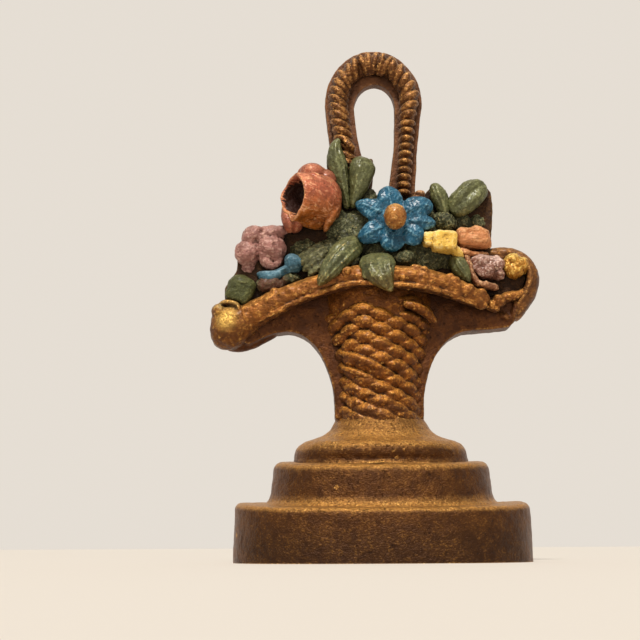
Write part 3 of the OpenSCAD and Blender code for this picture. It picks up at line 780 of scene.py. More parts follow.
inset = weave["inset"]
strands = [ringStack([(w - inset, front - inset, h) for w, front, h in weave["stem"]],
                     power=2.0, points=72)]
lump = run(weave["lump"], sides=14, profile="ridge")
lump.location = -spot(0, 0, 0)
settle(lump)
for row in range(weave["rows"]):
    h = weave["firstRow"] + row * weave["rowPitch"]
    w, front = stemAt(h)
    fade = min(1.0, weave["fadeLeast"]
               + max(0.0, h - weave["fadeFrom"]) / weave["fadeOver"])
    reach = weave["acrossPitch"]
    first = -reach * (weave["columns"] // 2) + (reach / 2 if row % 2 else 0.0)
    sideArc = weave["tallSideArc"] if h > weave["tallFrom"] else weave["sideArc"]
    for k in range(weave["columns"]):
        arc = (first + k * reach) / ((w + front) / 2)
        x = (w - inset) * math.sin(arc)
        if abs(arc) > sideArc or h > weaveTop(x):
            continue
        d = (front - inset - (1 - fade) * weave["fadeSunk"]) * math.cos(arc)
        facing = math.atan2(math.sin(arc) / w, math.cos(arc) / front)
        strand = copyOf(lump)
        size = dice.uniform(*weave["sizes"]) * (1.0 - weave["sideLoss"] * abs(arc))
        slant = weave["slant"] + dice.uniform(-1, 1) * weave["slantSpread"]
        if x < weave["crossLeftOf"] and h > weave["crossFrom"]:
            slant -= weave["crossSlant"]
        strand.scale = (size * dice.uniform(*weave["lengths"]), size * fade,
                        size * dice.uniform(*weave["heights"]))
        strand.rotation_euler = (0, math.radians(slant), facing)
        strand.location = spot(x + dice.uniform(-1, 1) * weave["jitter"],
                               h + dice.uniform(-1, 1) * weave["jitter"], d)
        strands.append(strand)
strands += [run(line, sides=12) for line in weave["strays"]]
settle(*strands[1:])
dropSelection()
bpy.data.objects.remove(lump)
piece = castSkin(joined(strands), *weave["skin"])
cutFoot(piece, weave["foot"])
finishPiece(piece, "basketWeave", "weave")

rim = dict(
    band=[(-48.0, 79.2, 6.2, 5.4, 5.4), (-44.0, 81.2, 6.8, 5.2, 5.2),
          (-40.0, 83.4, 7.6, 4.8, 4.9), (-36.0, 85.4, 8.2, 4.4, 4.6),
          (-29.0, 88.7, 9.2, 4.0, 4.4), (-20.0, 91.4, 10.6, 3.8, 4.8),
          (-11.0, 93.8, 12.2, 3.9, 5.4), (-3.0, 94.3, 13.2, 3.9, 5.6),
          (6.0, 93.2, 13.8, 3.9, 5.6), (14.0, 92.7, 13.8, 3.9, 5.6),
          (21.0, 91.0, 13.0, 3.8, 5.2), (28.0, 88.4, 11.6, 3.5, 4.8),
          (34.6, 86.2, 9.6, 2.9, 4.4), (37.6, 85.6, 8.4, 2.2, 3.6)],
    lip=[(-42.0, 78.6, 10.4), (-36.0, 81.6, 11.6), (-29.0, 85.0, 12.6), (-22.0, 87.5, 14.0),
         (-14.0, 90.0, 16.3), (-7.0, 90.8, 18.0), (0.0, 90.4, 18.6), (6.0, 89.5, 18.9),
         (12.0, 89.4, 18.9), (19.0, 88.4, 17.6), (26.0, 86.0, 15.4), (32.0, 84.2, 13.1),
         (37.4, 83.6, 10.8)],
    lipSize=0.9, lipSunk=0.3,
    # beaten lumps along the face of the band, clear of its ends
    dents=34, endsClear=(0.8, 1.6), dentOver=(-0.8, 0.7), dentSize=(1.2, 2.2),
    dentLong=(0.9, 1.6), dentFlat=0.9, dentTurn=(-40, 40), dentSunk=0.72,
    skin=(0.32, 4, ((3.4, 0.5), (0.7, 0.10))), hammered=(2.6, -0.32))
parts = [run(rim["band"], sides=20),
         run([(x, h, d - rim["lipSunk"], rim["lipSize"], rim["lipSize"])
              for x, h, d in rim["lip"]], sides=10)]
for k in range(rim["dents"]):
    t = dice.uniform(rim["endsClear"][0], len(rim["band"]) - rim["endsClear"][1])
    i = int(t)
    a, b = rim["band"][i], rim["band"][i + 1]
    x, h, d, w, deep = [a[j] + (b[j] - a[j]) * (t - i) for j in range(5)]
    over = dice.uniform(*rim["dentOver"])
    size = dice.uniform(*rim["dentSize"])
    parts.append(ball(x, h + over * w,
                      d + deep * math.sqrt(1 - over * over) - size * rim["dentSunk"],
                      size * dice.uniform(*rim["dentLong"]), size,
                      size * rim["dentFlat"], turn=dice.uniform(*rim["dentTurn"])))
piece = castSkin(joined(parts), *rim["skin"])
roughen(piece, *rim["hammered"], "VORONOI")
finishPiece(piece, "basketRim", "gold")

bead = dict(ring=(-10.8, 94.4, 15.8, 2.4, 2.2, 2.6),
            hollow=(-10.8, 94.4, 18.6, (0, 0, -1.5), 1.9),
            boss=(-10.8, 94.4, 17.2, 1.15, 1.15, 1.6), skin=(0.2, 2, ((0.9, 0.1),)))
piece = ball(*bead["ring"])
push(piece, *bead["hollow"])
piece = castSkin(joined([piece, ball(*bead["boss"])]), *bead["skin"])
finishPiece(piece, "rimBead", "gold")

castPiece("rimTail", "gold", sides=14, skin=(0.28, 3, ((2.4, 0.7), (0.9, 0.2))), parts=[
    (37.6, 84.6, 9.2, 2.0, 1.9, 2.4), (40.4, 86.0, 9.6, 2.3, 2.2, 2.4),
    (39.0, 83.4, 8.4, 1.6, 1.2, 2.2),
    [(40.2, 86.4, 6.6, 1.9, 4.4), (43.4, 87.8, 6.4, 2.1, 4.6), (46.8, 88.2, 5.6, 2.0, 4.6),
     (49.6, 89.4, 4.6, 1.8, 4.4), (51.4, 91.6, 4.0, 1.3, 4.0)]])

scrollLeft = dict(
    body=[(-57.4, 77.4, 3.0, 2.4, 3.0), (-56.9, 77.4, 3.2, 4.2, 4.2),
          (-56.0, 77.5, 3.4, 5.8, 5.2), (-54.6, 77.6, 3.6, 7.0, 6.1),
          (-52.6, 78.0, 3.9, 7.8, 6.9), (-50.2, 78.4, 4.2, 8.1, 7.4),
          (-47.0, 79.6, 4.8, 7.2, 7.2), (-44.0, 80.8, 5.4, 5.8, 6.4),
          (-41.6, 82.0, 5.8, 4.6, 5.4)],
    face=(-50.4, 79.2, 7.6, 4.8, 4.4, 3.6), shoulder=(-54.2, 83.4, 5.6, 2.7, 2.9, 4.4),
    curl=[(-54.6, 85.0, 6.6, 0.7, 1.8), (-53.4, 86.0, 7.6, 0.9, 2.2),
          (-51.4, 86.4, 8.4, 0.8, 2.2), (-49.4, 86.0, 8.8, 0.9, 2.2),
          (-47.7, 84.8, 9.2, 0.9, 2.2), (-46.9, 83.0, 9.4, 0.8, 1.8),
          (-47.0, 81.6, 9.2, 0.4, 1.2)],
    skin=(0.32, 3, ((4.0, 0.6), (0.8, 0.16))), hammered=(2.8, -0.4), back=0.2)
piece = joined([run(scrollLeft["body"], sides=24), ball(*scrollLeft["face"]),
                ball(*scrollLeft["shoulder"]), run(scrollLeft["curl"], sides=12)])
castSkin(piece, *scrollLeft["skin"])
roughen(piece, *scrollLeft["hammered"], "VORONOI")
finishPiece(piece, "rimScrollLeft", "scrollEnd", scrollLeft["back"])

scrollRight = dict(
    line=[(34.6, 103.0, 2.2, 1.8, 3.6), (38.0, 103.4, 2.4, 2.5, 3.9),
          (41.4, 103.8, 2.6, 2.7, 4.3), (45.6, 103.6, 3.0, 2.7, 5.0),
          (49.4, 101.8, 3.4, 2.6, 5.6), (52.2, 98.6, 3.7, 2.6, 5.8),
          (53.1, 94.4, 3.7, 2.6, 5.8), (52.2, 90.4, 3.6, 2.6, 5.6),
          (50.0, 87.0, 3.4, 2.7, 5.2), (47.6, 84.0, 3.0, 2.6, 4.8),
          (45.6, 80.6, 2.4, 2.2, 4.4)],
    edge=[(46.2, 102.9, 6.6, 0.6, 1.1), (48.8, 101.2, 8.0, 1.1, 1.6),
          (50.8, 98.8, 8.2, 1.2, 1.7), (51.8, 95.2, 8.3, 1.3, 1.8),
          (51.0, 91.2, 8.2, 1.3, 1.8), (48.8, 87.8, 7.6, 1.3, 1.8),
          (46.6, 84.8, 6.8, 1.2, 1.7), (45.2, 81.6, 6.0, 0.8, 1.2)],
    top=(42.4, 101.6, 2.8, 5.0, 2.6, 4.2, 6),
    skin=(0.35, 4, ((4.0, 0.5), (1.5, 0.25), (0.7, 0.12))), back=0.2)
piece = joined([run(scrollRight["line"], sides=18), run(scrollRight["edge"], sides=12),
                ball(*scrollRight["top"])])
castSkin(piece, *scrollRight["skin"])
finishPiece(piece, "rimScrollRight", "scroll", scrollRight["back"])


# ---- handle: flange and twisted rope ----

print("handle")
flange = dict(skin=(0.35, 8, ((6.0, 0.35), (1.8, 0.14), (0.8, 0.07))), back=0.08)
piece = castSkin(frameCopy("handle_flange"), *flange["skin"])
finishPiece(piece, "handleFlange", "brown", flange["back"])

rope = dict(
    # across, height and half width, up the left side, over the arch and down
    left=[(-8.4, 129.0, 3.4), (-8.9, 132.0, 3.5), (-10.3, 138.0, 3.6), (-11.5, 145.0, 3.7),
          (-12.6, 152.0, 3.8)],
    arch=dict(middle=(-0.6, 159), wide=12.6, high=14.9, size=4.0, step=15),
    right=[(11.2, 153.0, 3.0), (10.7, 147.0, 2.6), (10.2, 140.0, 2.5), (9.4, 131.0, 2.5),
           (8.9, 124.0, 2.5)],
    middle=4.6, coreDeep=3.4, coreInset=0.5, turnMiddle=5.6, turnDeep=2.2, turnProud=0.1,
    # one turn, lying across the rope's run along X, swept at its ends
    turn=[(-1.04, -0.22, 0.0, 0.22, 0.5), (-0.8, -0.14, 0.45, 0.42, 0.8),
          (-0.3, 0.0, 0.9, 0.52, 0.9), (0.3, 0.0, 0.9, 0.52, 0.9),
          (0.8, 0.14, 0.45, 0.42, 0.8), (1.04, 0.22, 0.0, 0.22, 0.5)],
    # by place along the rope: pitch of its turns, their slant and how much they merge
    twist={"left": (2.95, 36.0, 0.96), "top": (2.3, 10.0, 1.20), "right": (3.3, -26.0, 1.0),
           "leg": (2.85, 2.0, 0.86)},
    leftUntil=-6.5, topUntil=5.5, topFrom=160, legUntil=151, firstTurn=1.0,
    turnDepths=(0.92, 1.06), slantSpread=(-5, 5), pitches=(0.93, 1.07),
    end=[(-12.0, 144.4, 7.6, 0.8, 1.4), (-10.8, 143.0, 9.0, 1.3, 1.8),
         (-8.8, 141.2, 9.2, 1.4, 1.8), (-7.4, 140.0, 8.0, 0.9, 1.4)],
    skin=(0.24, 2, ((2.5, 0.2), (0.7, 0.12))), back=3.0)


def archPoint(angle, arch):
    x, h = arch["middle"]
    return (x + arch["wide"] * math.cos(math.radians(angle)),
            h + arch["high"] * math.sin(math.radians(angle)), arch["size"])


def ropePart(x, h):
    if x < rope["leftUntil"]:
        return "left"
    if x < rope["topUntil"] and h > rope["topFrom"]:
        return "top"
    return "right" if h > rope["legUntil"] else "leg"


ropeLine = rope["left"] + [archPoint(a, rope["arch"])
                           for a in range(180, -1, -rope["arch"]["step"])] + rope["right"]
turnsOfRope = [run([(x, h, rope["middle"], w - rope["coreInset"], rope["coreDeep"])
                    for x, h, w in ropeLine], sides=16)]
turnPiece = run(rope["turn"], sides=12)
turnPiece.location = -spot(0, 0, 0)
settle(turnPiece)
travel, target = 0.0, rope["firstTurn"]
for (x0, h0, w0), (x1, h1, w1) in zip(ropeLine, ropeLine[1:]):
    length = math.hypot(x1 - x0, h1 - h0)
    heading = math.atan2(x1 - x0, h1 - h0)
    while target <= travel + length:
        t = (target - travel) / length
        x, h, w = x0 + (x1 - x0) * t, h0 + (h1 - h0) * t, w0 + (w1 - w0) * t
        pitch, slant, merge = rope["twist"][ropePart(x, h)]
        turn = copyOf(turnPiece)
        turn.scale = (w + rope["turnProud"],
                      rope["turnDeep"] * dice.uniform(*rope["turnDepths"]), pitch * merge)
        slant += dice.uniform(*rope["slantSpread"])
        turn.rotation_euler = (0, heading + math.radians(slant), 0)
        turn.location = spot(x, h, rope["turnMiddle"])
        turnsOfRope.append(turn)
        target += pitch * dice.uniform(*rope["pitches"])
    travel += length
settle(*turnsOfRope[1:])
turnsOfRope.append(run(rope["end"], sides=12))
bpy.data.objects.remove(turnPiece)
piece = castSkin(joined(turnsOfRope), *rope["skin"])
finishPiece(piece, "handleRope", "rope", rope["back"])


# ---- bunch: the plate behind, the ground and the stems ----

print("bunch")
bed = dict(corner=(45.4, 94.6, 1.4, 5.6, 6.4, 3.0),
           skin=(0.4, 10, ((6.0, 0.5), (1.8, 0.25), (0.8, 0.10))), back=0.12)
piece = castSkin(joined([frameCopy("flower_bed"), ball(*bed["corner"])]), *bed["skin"])
finishPiece(piece, "flowerBed", "bed", bed["back"])

ground = {
    "mossGround": dict(
        paint="moss", skin=(0.4, 3, ((3.0, 1.0), (1.3, 0.9), (0.7, 0.45))),
        parts=[(-16.0, 103.0, 6.6, 6.0, 6.0, 4.6), (-8.0, 110.0, 6.4, 8.0, 9.0, 4.6),
               (3.0, 104.0, 7.0, 10.0, 7.0, 4.8), (14.0, 103.0, 6.6, 10.0, 7.0, 4.4),
               (14.0, 113.0, 6.4, 9.0, 7.0, 4.6), (0.0, 115.0, 6.6, 9.0, 6.0, 4.4),
               (-3.0, 122.4, 5.4, 3.4, 4.8, 3.8), (24.0, 104.0, 5.6, 5.0, 7.0, 3.6),
               (-25.0, 103.4, 5.4, 6.0, 5.6, 3.8), (28.6, 114.4, 5.6, 4.2, 3.4, 3.4),
               (34.4, 114.6, 5.0, 3.6, 3.6, 3.0), (-36.8, 92.6, 6.6, 5.4, 3.0, 4.4),
               (-30.4, 94.4, 6.8, 4.0, 2.2, 3.6), (41.0, 103.0, 3.6, 3.4, 2.0, 3.2),
               (-9.4, 99.2, 11.0, 3.4, 3.6, 4.0), (8.6, 100.6, 10.0, 4.6, 3.0, 4.4),
               (-14.0, 113.6, 6.0, 4.6, 6.6, 4.4)]),
    "mossLump": dict(
        paint="moss", skin=(0.3, 2, ((2.0, 0.8), (1.0, 0.7), (0.6, 0.3))),
        parts=[(22.8, 113.8, 8.6, 4.4, 3.5, 4.0, 20)]),
}
for name, values in ground.items():
    castPiece(name, **values)

# Ribbed stems lying side by side over the rim, left of the middle leaf
stems = dict(lines=[[(-18.6, 106.8, 9.4), (-21.6, 104.4, 10.2), (-25.0, 102.2, 10.2),
                     (-28.0, 100.8, 9.4)],
                    [(-17.8, 105.4, 10.2), (-20.6, 102.6, 11.2), (-24.2, 100.2, 11.0),
                     (-27.6, 98.8, 10.0)],
                    [(-17.0, 104.0, 10.6), (-19.4, 100.8, 11.8), (-22.8, 98.0, 11.6),
                     (-26.4, 96.6, 10.4)],
                    [(-16.4, 102.4, 10.6), (-18.4, 99.2, 11.8), (-21.4, 96.2, 11.8),
                     (-24.4, 94.6, 10.8)]], sizes=[1.5 * k for k in (0.8, 1.0, 1.0, 0.7)])
castPiece("stems", "stem", skin=(0.3, 10, ((1.6, 0.7), (0.7, 0.35))), parts=[
    [place + (size, size) for place, size in zip(line, stems["sizes"])]
    for line in stems["lines"]])


# ---- rose ----

print("rose")
rose = dict(
    middle=(-22.7, 121.0, 12.2), turnLeft=49.0,
    # along the cup towards its mouth, half height, half width
    cup=[(-10.0, 3.6, 3.0), (-9.2, 6.8, 5.8), (-6.8, 9.4, 8.0), (-3.0, 10.2, 9.0),
         (1.6, 9.6, 8.8), (5.4, 8.3, 7.4), (7.6, 7.3, 6.3), (8.2, 6.7, 5.6),
         (7.4, 6.1, 4.9), (4.6, 5.4, 4.4), (1.6, 4.4, 3.6), (-0.6, 1.6, 1.2)],
    # the mouth runs to a point below and stands high behind
    pushes=[((-28.5, 114.4, 17.5), (-0.6, -2.0, -0.6), 3.4),
            ((-31.6, 117.6, 14.6), (-0.8, -0.6, 0.0), 2.6),
            ((-27.6, 127.6, 18.0), (0.2, 0.8, 0.0), 3.0),
            ((-32.6, 122.0, 14.0), (-0.9, 0.0, 0.0), 5.0),
            ((-15.6, 110.6, 13.0), (1.4, 2.4, -1.6), 6.0),
            ((-22.6, 111.4, 16.0), (0.8, 2.8, -2.0), 6.0)],
    folds=[[(-13.2, 120.6, 12.0, 0.6, 1.6), (-14.2, 117.4, 13.2, 1.6, 2.2),
            (-16.0, 114.4, 13.6, 1.9, 2.4), (-17.6, 111.8, 12.4, 1.4, 2.2),
            (-18.6, 109.8, 10.8, 0.6, 1.2)],
           [(-23.2, 129.4, 17.4, 0.5, 0.9), (-19.4, 127.6, 17.6, 0.9, 1.1),
            (-16.2, 123.6, 17.0, 0.9, 1.1), (-15.6, 119.0, 16.0, 0.5, 0.8)],
           [(-22.6, 126.8, 18.6, 0.4, 0.8), (-20.0, 123.6, 19.0, 0.8, 1.0),
            (-18.4, 119.6, 18.4, 0.8, 1.0), (-17.6, 116.0, 17.2, 0.4, 0.8)]],
    skin=(0.32, 6, ((6.0, 0.8), (1.6, 0.18), (0.8, 0.12))))


def makeCup(rings, middle, turnLeft):
    # rings up the axis, out over the mouth and back down inside
    dropSelection()
    a, tall, wide = rings[0]
    bpy.ops.mesh.primitive_circle_add(vertices=28, radius=mm, fill_type="NGON",
                                      location=(0, 0, a * mm))
    piece = newest()
    settle(piece)
    openMesh(piece)
    bpy.ops.transform.resize(value=(tall, wide, 1), center_override=(0, 0, a * mm))
    for nextA, nextTall, nextWide in rings[1:]:
        bpy.ops.mesh.extrude_region_move(
            TRANSFORM_OT_translate={"value": (0, 0, (nextA - a) * mm)})
        bpy.ops.transform.resize(value=(nextTall / tall, nextWide / wide, 1),
                                 center_override=(0, 0, nextA * mm))
        a, tall, wide = nextA, nextTall, nextWide
    closeMesh()
    faceOut(piece)
    useModifier(piece, "SUBSURF", levels=1, render_levels=1)
    # the axis turns to the left and out; the ring's X is upright
    toLeft = math.radians(turnLeft)
    axis = Vector((-math.sin(toLeft), -math.cos(toLeft), 0.0))
    upright = Vector((0, 0, 1))
    turned = Matrix((upright, axis.cross(upright), axis)).transposed()
    piece.matrix_world = Matrix.Translation(spot(*middle)) @ turned.to_4x4()
    settle(piece)
    faceOut(piece)
    return piece


piece = makeCup(rose["cup"], rose["middle"], rose["turnLeft"])
for place, move, reach in rose["pushes"]:
    push(piece, *place, move, reach)
piece = joined([piece] + [run(line, sides=12) for line in rose["folds"]])
castSkin(piece, *rose["skin"])
finishPiece(piece, "roseCup", "rose", nodes=["rose_rolled_petal", "rose_right_petal"])

outerPetals = {
    "roseTopPetal": dict(
        paint="coral", skin=(0.3, 3, ((3.4, 0.5), (0.9, 0.10))),
        parts=[(-22.4, 130.4, 9.6, 5.4, 4.4, 6.4, 6),
               (-17.6, 128.8, 9.0, 4.0, 3.8, 5.4, 40)],
        pushes=[((-27.0, 132.0, 13.0), (0.4, -0.6, -1.4), 1.6)]),
    "roseLowerPetal": dict(
        paint="coral", skin=(0.3, 3, ((3.0, 0.4), (0.9, 0.10))), sides=14,
        parts=[[(-32.4, 120.0, 10.0, 0.6, 1.6), (-31.9, 117.4, 11.2, 1.4, 2.2),
                (-30.9, 114.8, 12.6, 2.4, 2.6), (-30.3, 112.6, 13.2, 2.5, 2.8),
                (-30.2, 110.8, 12.8, 1.8, 2.5), (-30.2, 109.4, 11.8, 0.8, 1.5)],
               (-28.6, 113.2, 10.4, 3.0, 3.2, 4.2)]),
}
for name, values in outerPetals.items():
    castPiece(name, **values)


# ---- blue flower ----

print("blue flower")
blueFlower = dict(
    middle=(5.3, 113.0, 12.4, 8.8, 8.4, 3.0), widen=1.08,
    # half depth of a petal, and at its tip, where it follows the half width
    thick=1.6, tipBelow=2, tip=(0.8, 0.3),
    ridgeProud=1.35, ridgeWide=(0.45, 0.08), ridgeThick=0.7,
    # across, height, depth and half width along each petal
    petals=[
        [(4.6, 116.5, 13.2, 3.9), (4.1, 119.5, 13.6, 4.3), (3.8, 121.8, 13.4, 4.1),
         (3.6, 123.8, 12.8, 3.4), (3.5, 125.1, 12.2, 2.3), (3.5, 126.0, 11.6, 0.9)],
        [(8.5, 115.3, 13.3, 3.4), (11.5, 117.0, 13.8, 4.2), (14.2, 118.1, 13.6, 4.1),
         (16.4, 118.4, 13.0, 3.1), (18.0, 118.3, 12.4, 2.0), (18.9, 118.2, 11.8, 0.8)],
        [(9.5, 112.8, 13.2, 2.5), (13.0, 112.5, 13.6, 2.9), (16.0, 112.4, 13.4, 2.6),
         (18.2, 112.6, 12.8, 1.8), (19.6, 112.7, 12.0, 0.6)],
        [(8.3, 110.4, 13.4, 3.2), (10.8, 108.6, 14.2, 3.8), (12.6, 107.3, 14.2, 3.6),
         (13.9, 106.3, 13.8, 2.5), (14.7, 105.7, 13.2, 0.9)],
        [(5.0, 109.2, 13.4, 3.6), (4.6, 106.6, 14.2, 4.0), (4.3, 104.6, 14.2, 3.8),
         (4.2, 103.1, 13.8, 2.8), (4.2, 102.2, 13.2, 1.2)],
        [(1.6, 110.8, 13.4, 3.4), (-1.2, 109.3, 14.2, 3.7), (-3.8, 108.1, 14.0, 3.3),
         (-5.8, 107.4, 13.4, 2.3), (-7.3, 107.1, 12.8, 0.9)],
        [(1.4, 115.6, 13.2, 3.4), (-1.2, 117.0, 13.6, 3.8), (-3.8, 118.2, 13.2, 3.2),
         (-5.8, 119.1, 12.6, 2.2), (-7.7, 120.0, 11.8, 0.8)]],
    skin=(0.28, 3, ((3.4, 0.7), (1.4, 0.26), (0.6, 0.12))))


def petalThick(w):
    least, share = blueFlower["tip"]
    return blueFlower["thick"] if w > blueFlower["tipBelow"] else least + w * share


petals = [ball(*blueFlower["middle"])]
ridgeLeast, ridgeShare = blueFlower["ridgeWide"]
for petal in blueFlower["petals"]:
    petals.append(run([(x, h, d, w * blueFlower["widen"], petalThick(w))
                       for x, h, d, w in petal], sides=18, profile="ridge"))
    petals.append(run([(x, h, d + blueFlower["ridgeProud"], ridgeLeast + w * ridgeShare,
                        blueFlower["ridgeThick"]) for x, h, d, w in petal[:-1]], sides=10))
piece = castSkin(joined(petals), *blueFlower["skin"])
finishPiece(piece, "bluePetals", "blue")


# ---- the smaller flowers and buds ----

# A part is a run of stations in a list, a block of 8 numbers with the softness of
# its edges and its turn, or a ball of 6 with its turn as a seventh
smallFlowers = {
    "blueBall": dict(
        paint="ochre", skin=(0.22, 5, ((2.0, 0.4), (0.8, 0.3), (0.45, 0.12))),
        parts=[(5.4, 113.4, 17.4, 3.8, 4.4, 4.2),
               (5.3, 114.0, 17.4, 2.9, 3.0, 3.2, 1.6, 4)]),
    "smallBud": dict(
        paint="curl", skin=(0.25, 2, ((1.4, 0.4), (0.6, 0.10))),
        parts=[(14.4, 123.4, 11.0, 1.8, 1.1, 2.6), (13.8, 122.2, 9.8, 1.8, 1.6, 2.8)]),
    "smallBlueFlower": dict(
        paint="paleBlue", skin=(0.26, 3, ((2.4, 0.5), (0.6, 0.1))), sides=14,
        parts=[(-28.8, 99.4, 8.6, 3.3, 3.1, 3.8), (-29.6, 100.6, 8.8, 2.6, 2.2, 3.4),
               [(-29.4, 98.4, 9.0, 2.2, 2.4), (-32.2, 96.8, 9.2, 1.6, 1.9),
                (-35.0, 95.2, 9.2, 1.9, 1.9), (-37.8, 94.8, 9.0, 2.3, 2.0),
                (-40.2, 95.6, 8.2, 1.7, 1.6), (-41.6, 96.6, 7.6, 0.6, 0.9)]],
        pushes=[((-31.6, 95.6, 11.0), (0, 0.8, -1.2), 1.8)]),
    # folded lobes: middle, a hood over a hollow at the left, and a spike to the
    # right, then the stalk and a lump behind it
    "mauveFlowerLeft": dict(
        paint="mauve", skin=(0.3, 5, ((3.4, 1.1), (1.2, 0.3), (0.7, 0.15))),
        parts=[(-42.4, 109.2, 7.4, 4.6, 4.2, 4.4, -20),
               (-44.8, 103.6, 7.4, 4.4, 4.4, 4.6, 25),
               (-36.6, 105.0, 8.2, 5.2, 5.0, 4.8, 0),
               (-37.0, 110.0, 7.8, 5.0, 3.4, 4.2, 4),
               [(-37.0, 109.8, 9.0, 2.6, 2.8), (-33.4, 110.8, 9.8, 1.8, 2.2),
                (-30.6, 111.4, 10.2, 1.1, 1.4), (-28.6, 111.8, 10.2, 0.4, 0.6)],
               [(-38.4, 103.4, 8.2, 3.0, 3.4), (-38.4, 100.2, 8.4, 2.6, 3.2),
                (-36.0, 98.0, 8.0, 2.2, 2.8), (-33.6, 100.4, 7.8, 1.8, 2.6),
                (-33.2, 103.2, 7.6, 1.4, 2.2)],
               (-44.4, 99.2, 4.4, 3.6, 4.0, 3.2)],
        pushes=[((-41.4, 106.6, 12.0), (0, 0, -1.4), 1.6),
                ((-40.0, 111.0, 11.6), (0, -0.4, -1.0), 1.3),
                ((-36.8, 103.2, 13.0), (0, 0, 0.7), 2.0)]),
    "greenBud": dict(
        paint="bud", skin=(0.3, 3, ((3.0, 0.7), (0.7, 0.16))), sides=10,
        parts=[(-46.9, 90.6, 6.0, 4.6, 5.0, 4.8, 2.8, 24),
               (-47.2, 91.4, 7.2, 4.4, 4.8, 4.0),
               [(-50.6, 92.6, 8.6, 0.4, 0.8), (-48.6, 90.2, 10.4, 0.7, 0.9),
                (-45.8, 89.4, 10.4, 0.7, 0.9), (-43.2, 90.8, 9.2, 0.4, 0.8)],
               [(-50.0, 95.0, 8.0, 0.4, 0.8), (-48.0, 92.8, 10.6, 0.7, 0.9),
                (-45.4, 92.0, 10.8, 0.7, 0.9), (-43.0, 93.2, 9.4, 0.4, 0.8)],
               [(-50.6, 89.4, 8.4, 0.4, 0.8), (-48.6, 87.6, 9.6, 0.6, 0.9),
                (-46.2, 86.8, 9.4, 0.6, 0.9), (-44.2, 87.6, 8.4, 0.4, 0.8)]]),
    "yellowFlower": dict(
        paint="yellow", skin=(0.25, 7, ((2.6, 0.9), (1.2, 0.3), (0.6, 0.14))), sides=14,
        parts=[(22.0, 105.9, 12.2, 4.1, 3.4, 4.2, 1.5, 4),
               (17.8, 106.9, 11.6, 2.8, 2.4, 3.4, 1.1, -8),
               (24.2, 107.4, 12.6, 1.7, 1.4, 3.0), (19.4, 106.8, 12.8, 1.6, 2.8, 3.2),
               [(24.6, 104.6, 11.2, 1.4, 2.6), (26.4, 103.0, 10.8, 1.9, 2.6),
                (28.0, 101.4, 10.0, 1.6, 2.2), (29.2, 100.4, 9.0, 0.7, 1.2)]],
        latePushes=[((22.8, 106.0, 16.4), (0, 0, -0.7), 2.2),
                    ((19.2, 109.0, 15.0), (0, -0.6, -0.6), 1.4)]),
    "peachFlower": dict(
        paint="peach", skin=(0.27, 5, ((2.8, 0.7), (0.7, 0.16))),
        parts=[(31.8, 108.0, 8.6, 6.4, 3.8, 4.8, 4), (33.4, 109.8, 9.4, 3.0, 2.4, 4.0, 0),
               (28.6, 108.0, 9.6, 3.0, 2.9, 4.0, 0), (36.6, 106.8, 8.4, 1.9, 2.6, 3.6, 12),
               (32.0, 107.9, 9.2, 5.8, 3.2, 4.2, 2.2, 5),
               [(26.6, 104.6, 8.6, 1.6, 2.8), (28.6, 103.0, 9.4, 1.5, 2.8),
                (31.8, 102.2, 9.0, 1.2, 2.6), (35.2, 102.4, 8.0, 1.1, 2.4),
                (38.2, 103.0, 7.0, 0.8, 1.6)],
               [(31.6, 111.0, 10.6, 0.7, 1.2), (34.2, 110.8, 12.0, 1.2, 1.6),
                (36.2, 108.8, 11.8, 1.2, 1.6), (37.4, 106.4, 11.0, 1.1, 1.5),
                (38.2, 104.0, 9.6, 0.6, 1.2)]],
        latePushes=[((31.0, 109.0, 13.8), (0, 0, -0.8), 2.0)]),
    "mauveFlowerRight": dict(
        paint="palePetal", skin=(0.27, 6, ((3.0, 1.6), (1.3, 0.3), (0.6, 0.1))),
        parts=[(34.6, 99.4, 9.2, 3.6, 3.0, 3.9), (36.2, 96.6, 9.2, 4.0, 3.2, 3.9),
               (40.4, 98.6, 8.8, 2.4, 3.2, 3.8), (40.6, 95.8, 8.2, 2.4, 2.4, 3.4),
               (32.6, 97.6, 8.4, 1.9, 2.6, 3.4), (37.4, 97.8, 8.0, 5.4, 4.2, 4.2)]),
    "curledPetal": dict(
        paint="curl", skin=(0.25, 3, ((2.0, 0.9), (0.9, 0.3))), sides=14,
        parts=[[(29.2, 102.6, 8.6, 1.2, 3.0), (30.2, 99.6, 9.2, 1.5, 3.2),
                (31.0, 96.4, 9.6, 1.1, 3.2), (31.8, 93.4, 9.8, 1.5, 3.2),
                (33.6, 91.4, 9.8, 1.5, 3.2), (35.8, 90.8, 9.6, 1.1, 3.0),
                (37.6, 91.4, 9.4, 1.4, 2.8), (39.2, 90.8, 8.8, 1.3, 2.4),
                (40.6, 90.4, 8.0, 0.8, 1.6)]],
        pushes=[((36.0, 92.2, 12.4), (0, 0.9, 0), 1.4),
                ((30.4, 97.8, 12.4), (0.8, 0, 0.4), 1.6)]),
    "goldBud": dict(
        paint="budGold", skin=(0.28, 4, ((2.2, 0.7), (1.1, 0.3), (0.6, 0.12))),
        parts=[(45.6, 100.4, 8.6, 2.8, 2.3, 3.4), (49.0, 98.6, 8.2, 2.3, 3.0, 3.2),
               (46.2, 96.6, 8.4, 3.4, 2.6, 3.4), (43.6, 98.4, 8.2, 1.9, 2.8, 3.2),
               (47.2, 98.6, 8.2, 3.4, 3.4, 3.6)]),
}
print("small flowers")
for name, values in smallFlowers.items():
    castPiece(name, **values)


# ---- leaves ----

print("leaves")
leafSkin = (0.28, 3, ((4.0, 0.6), (1.6, 0.24), (0.8, 0.14)))
veinSunk = 0.3      # share of a vein's thickness that lies in the leaf
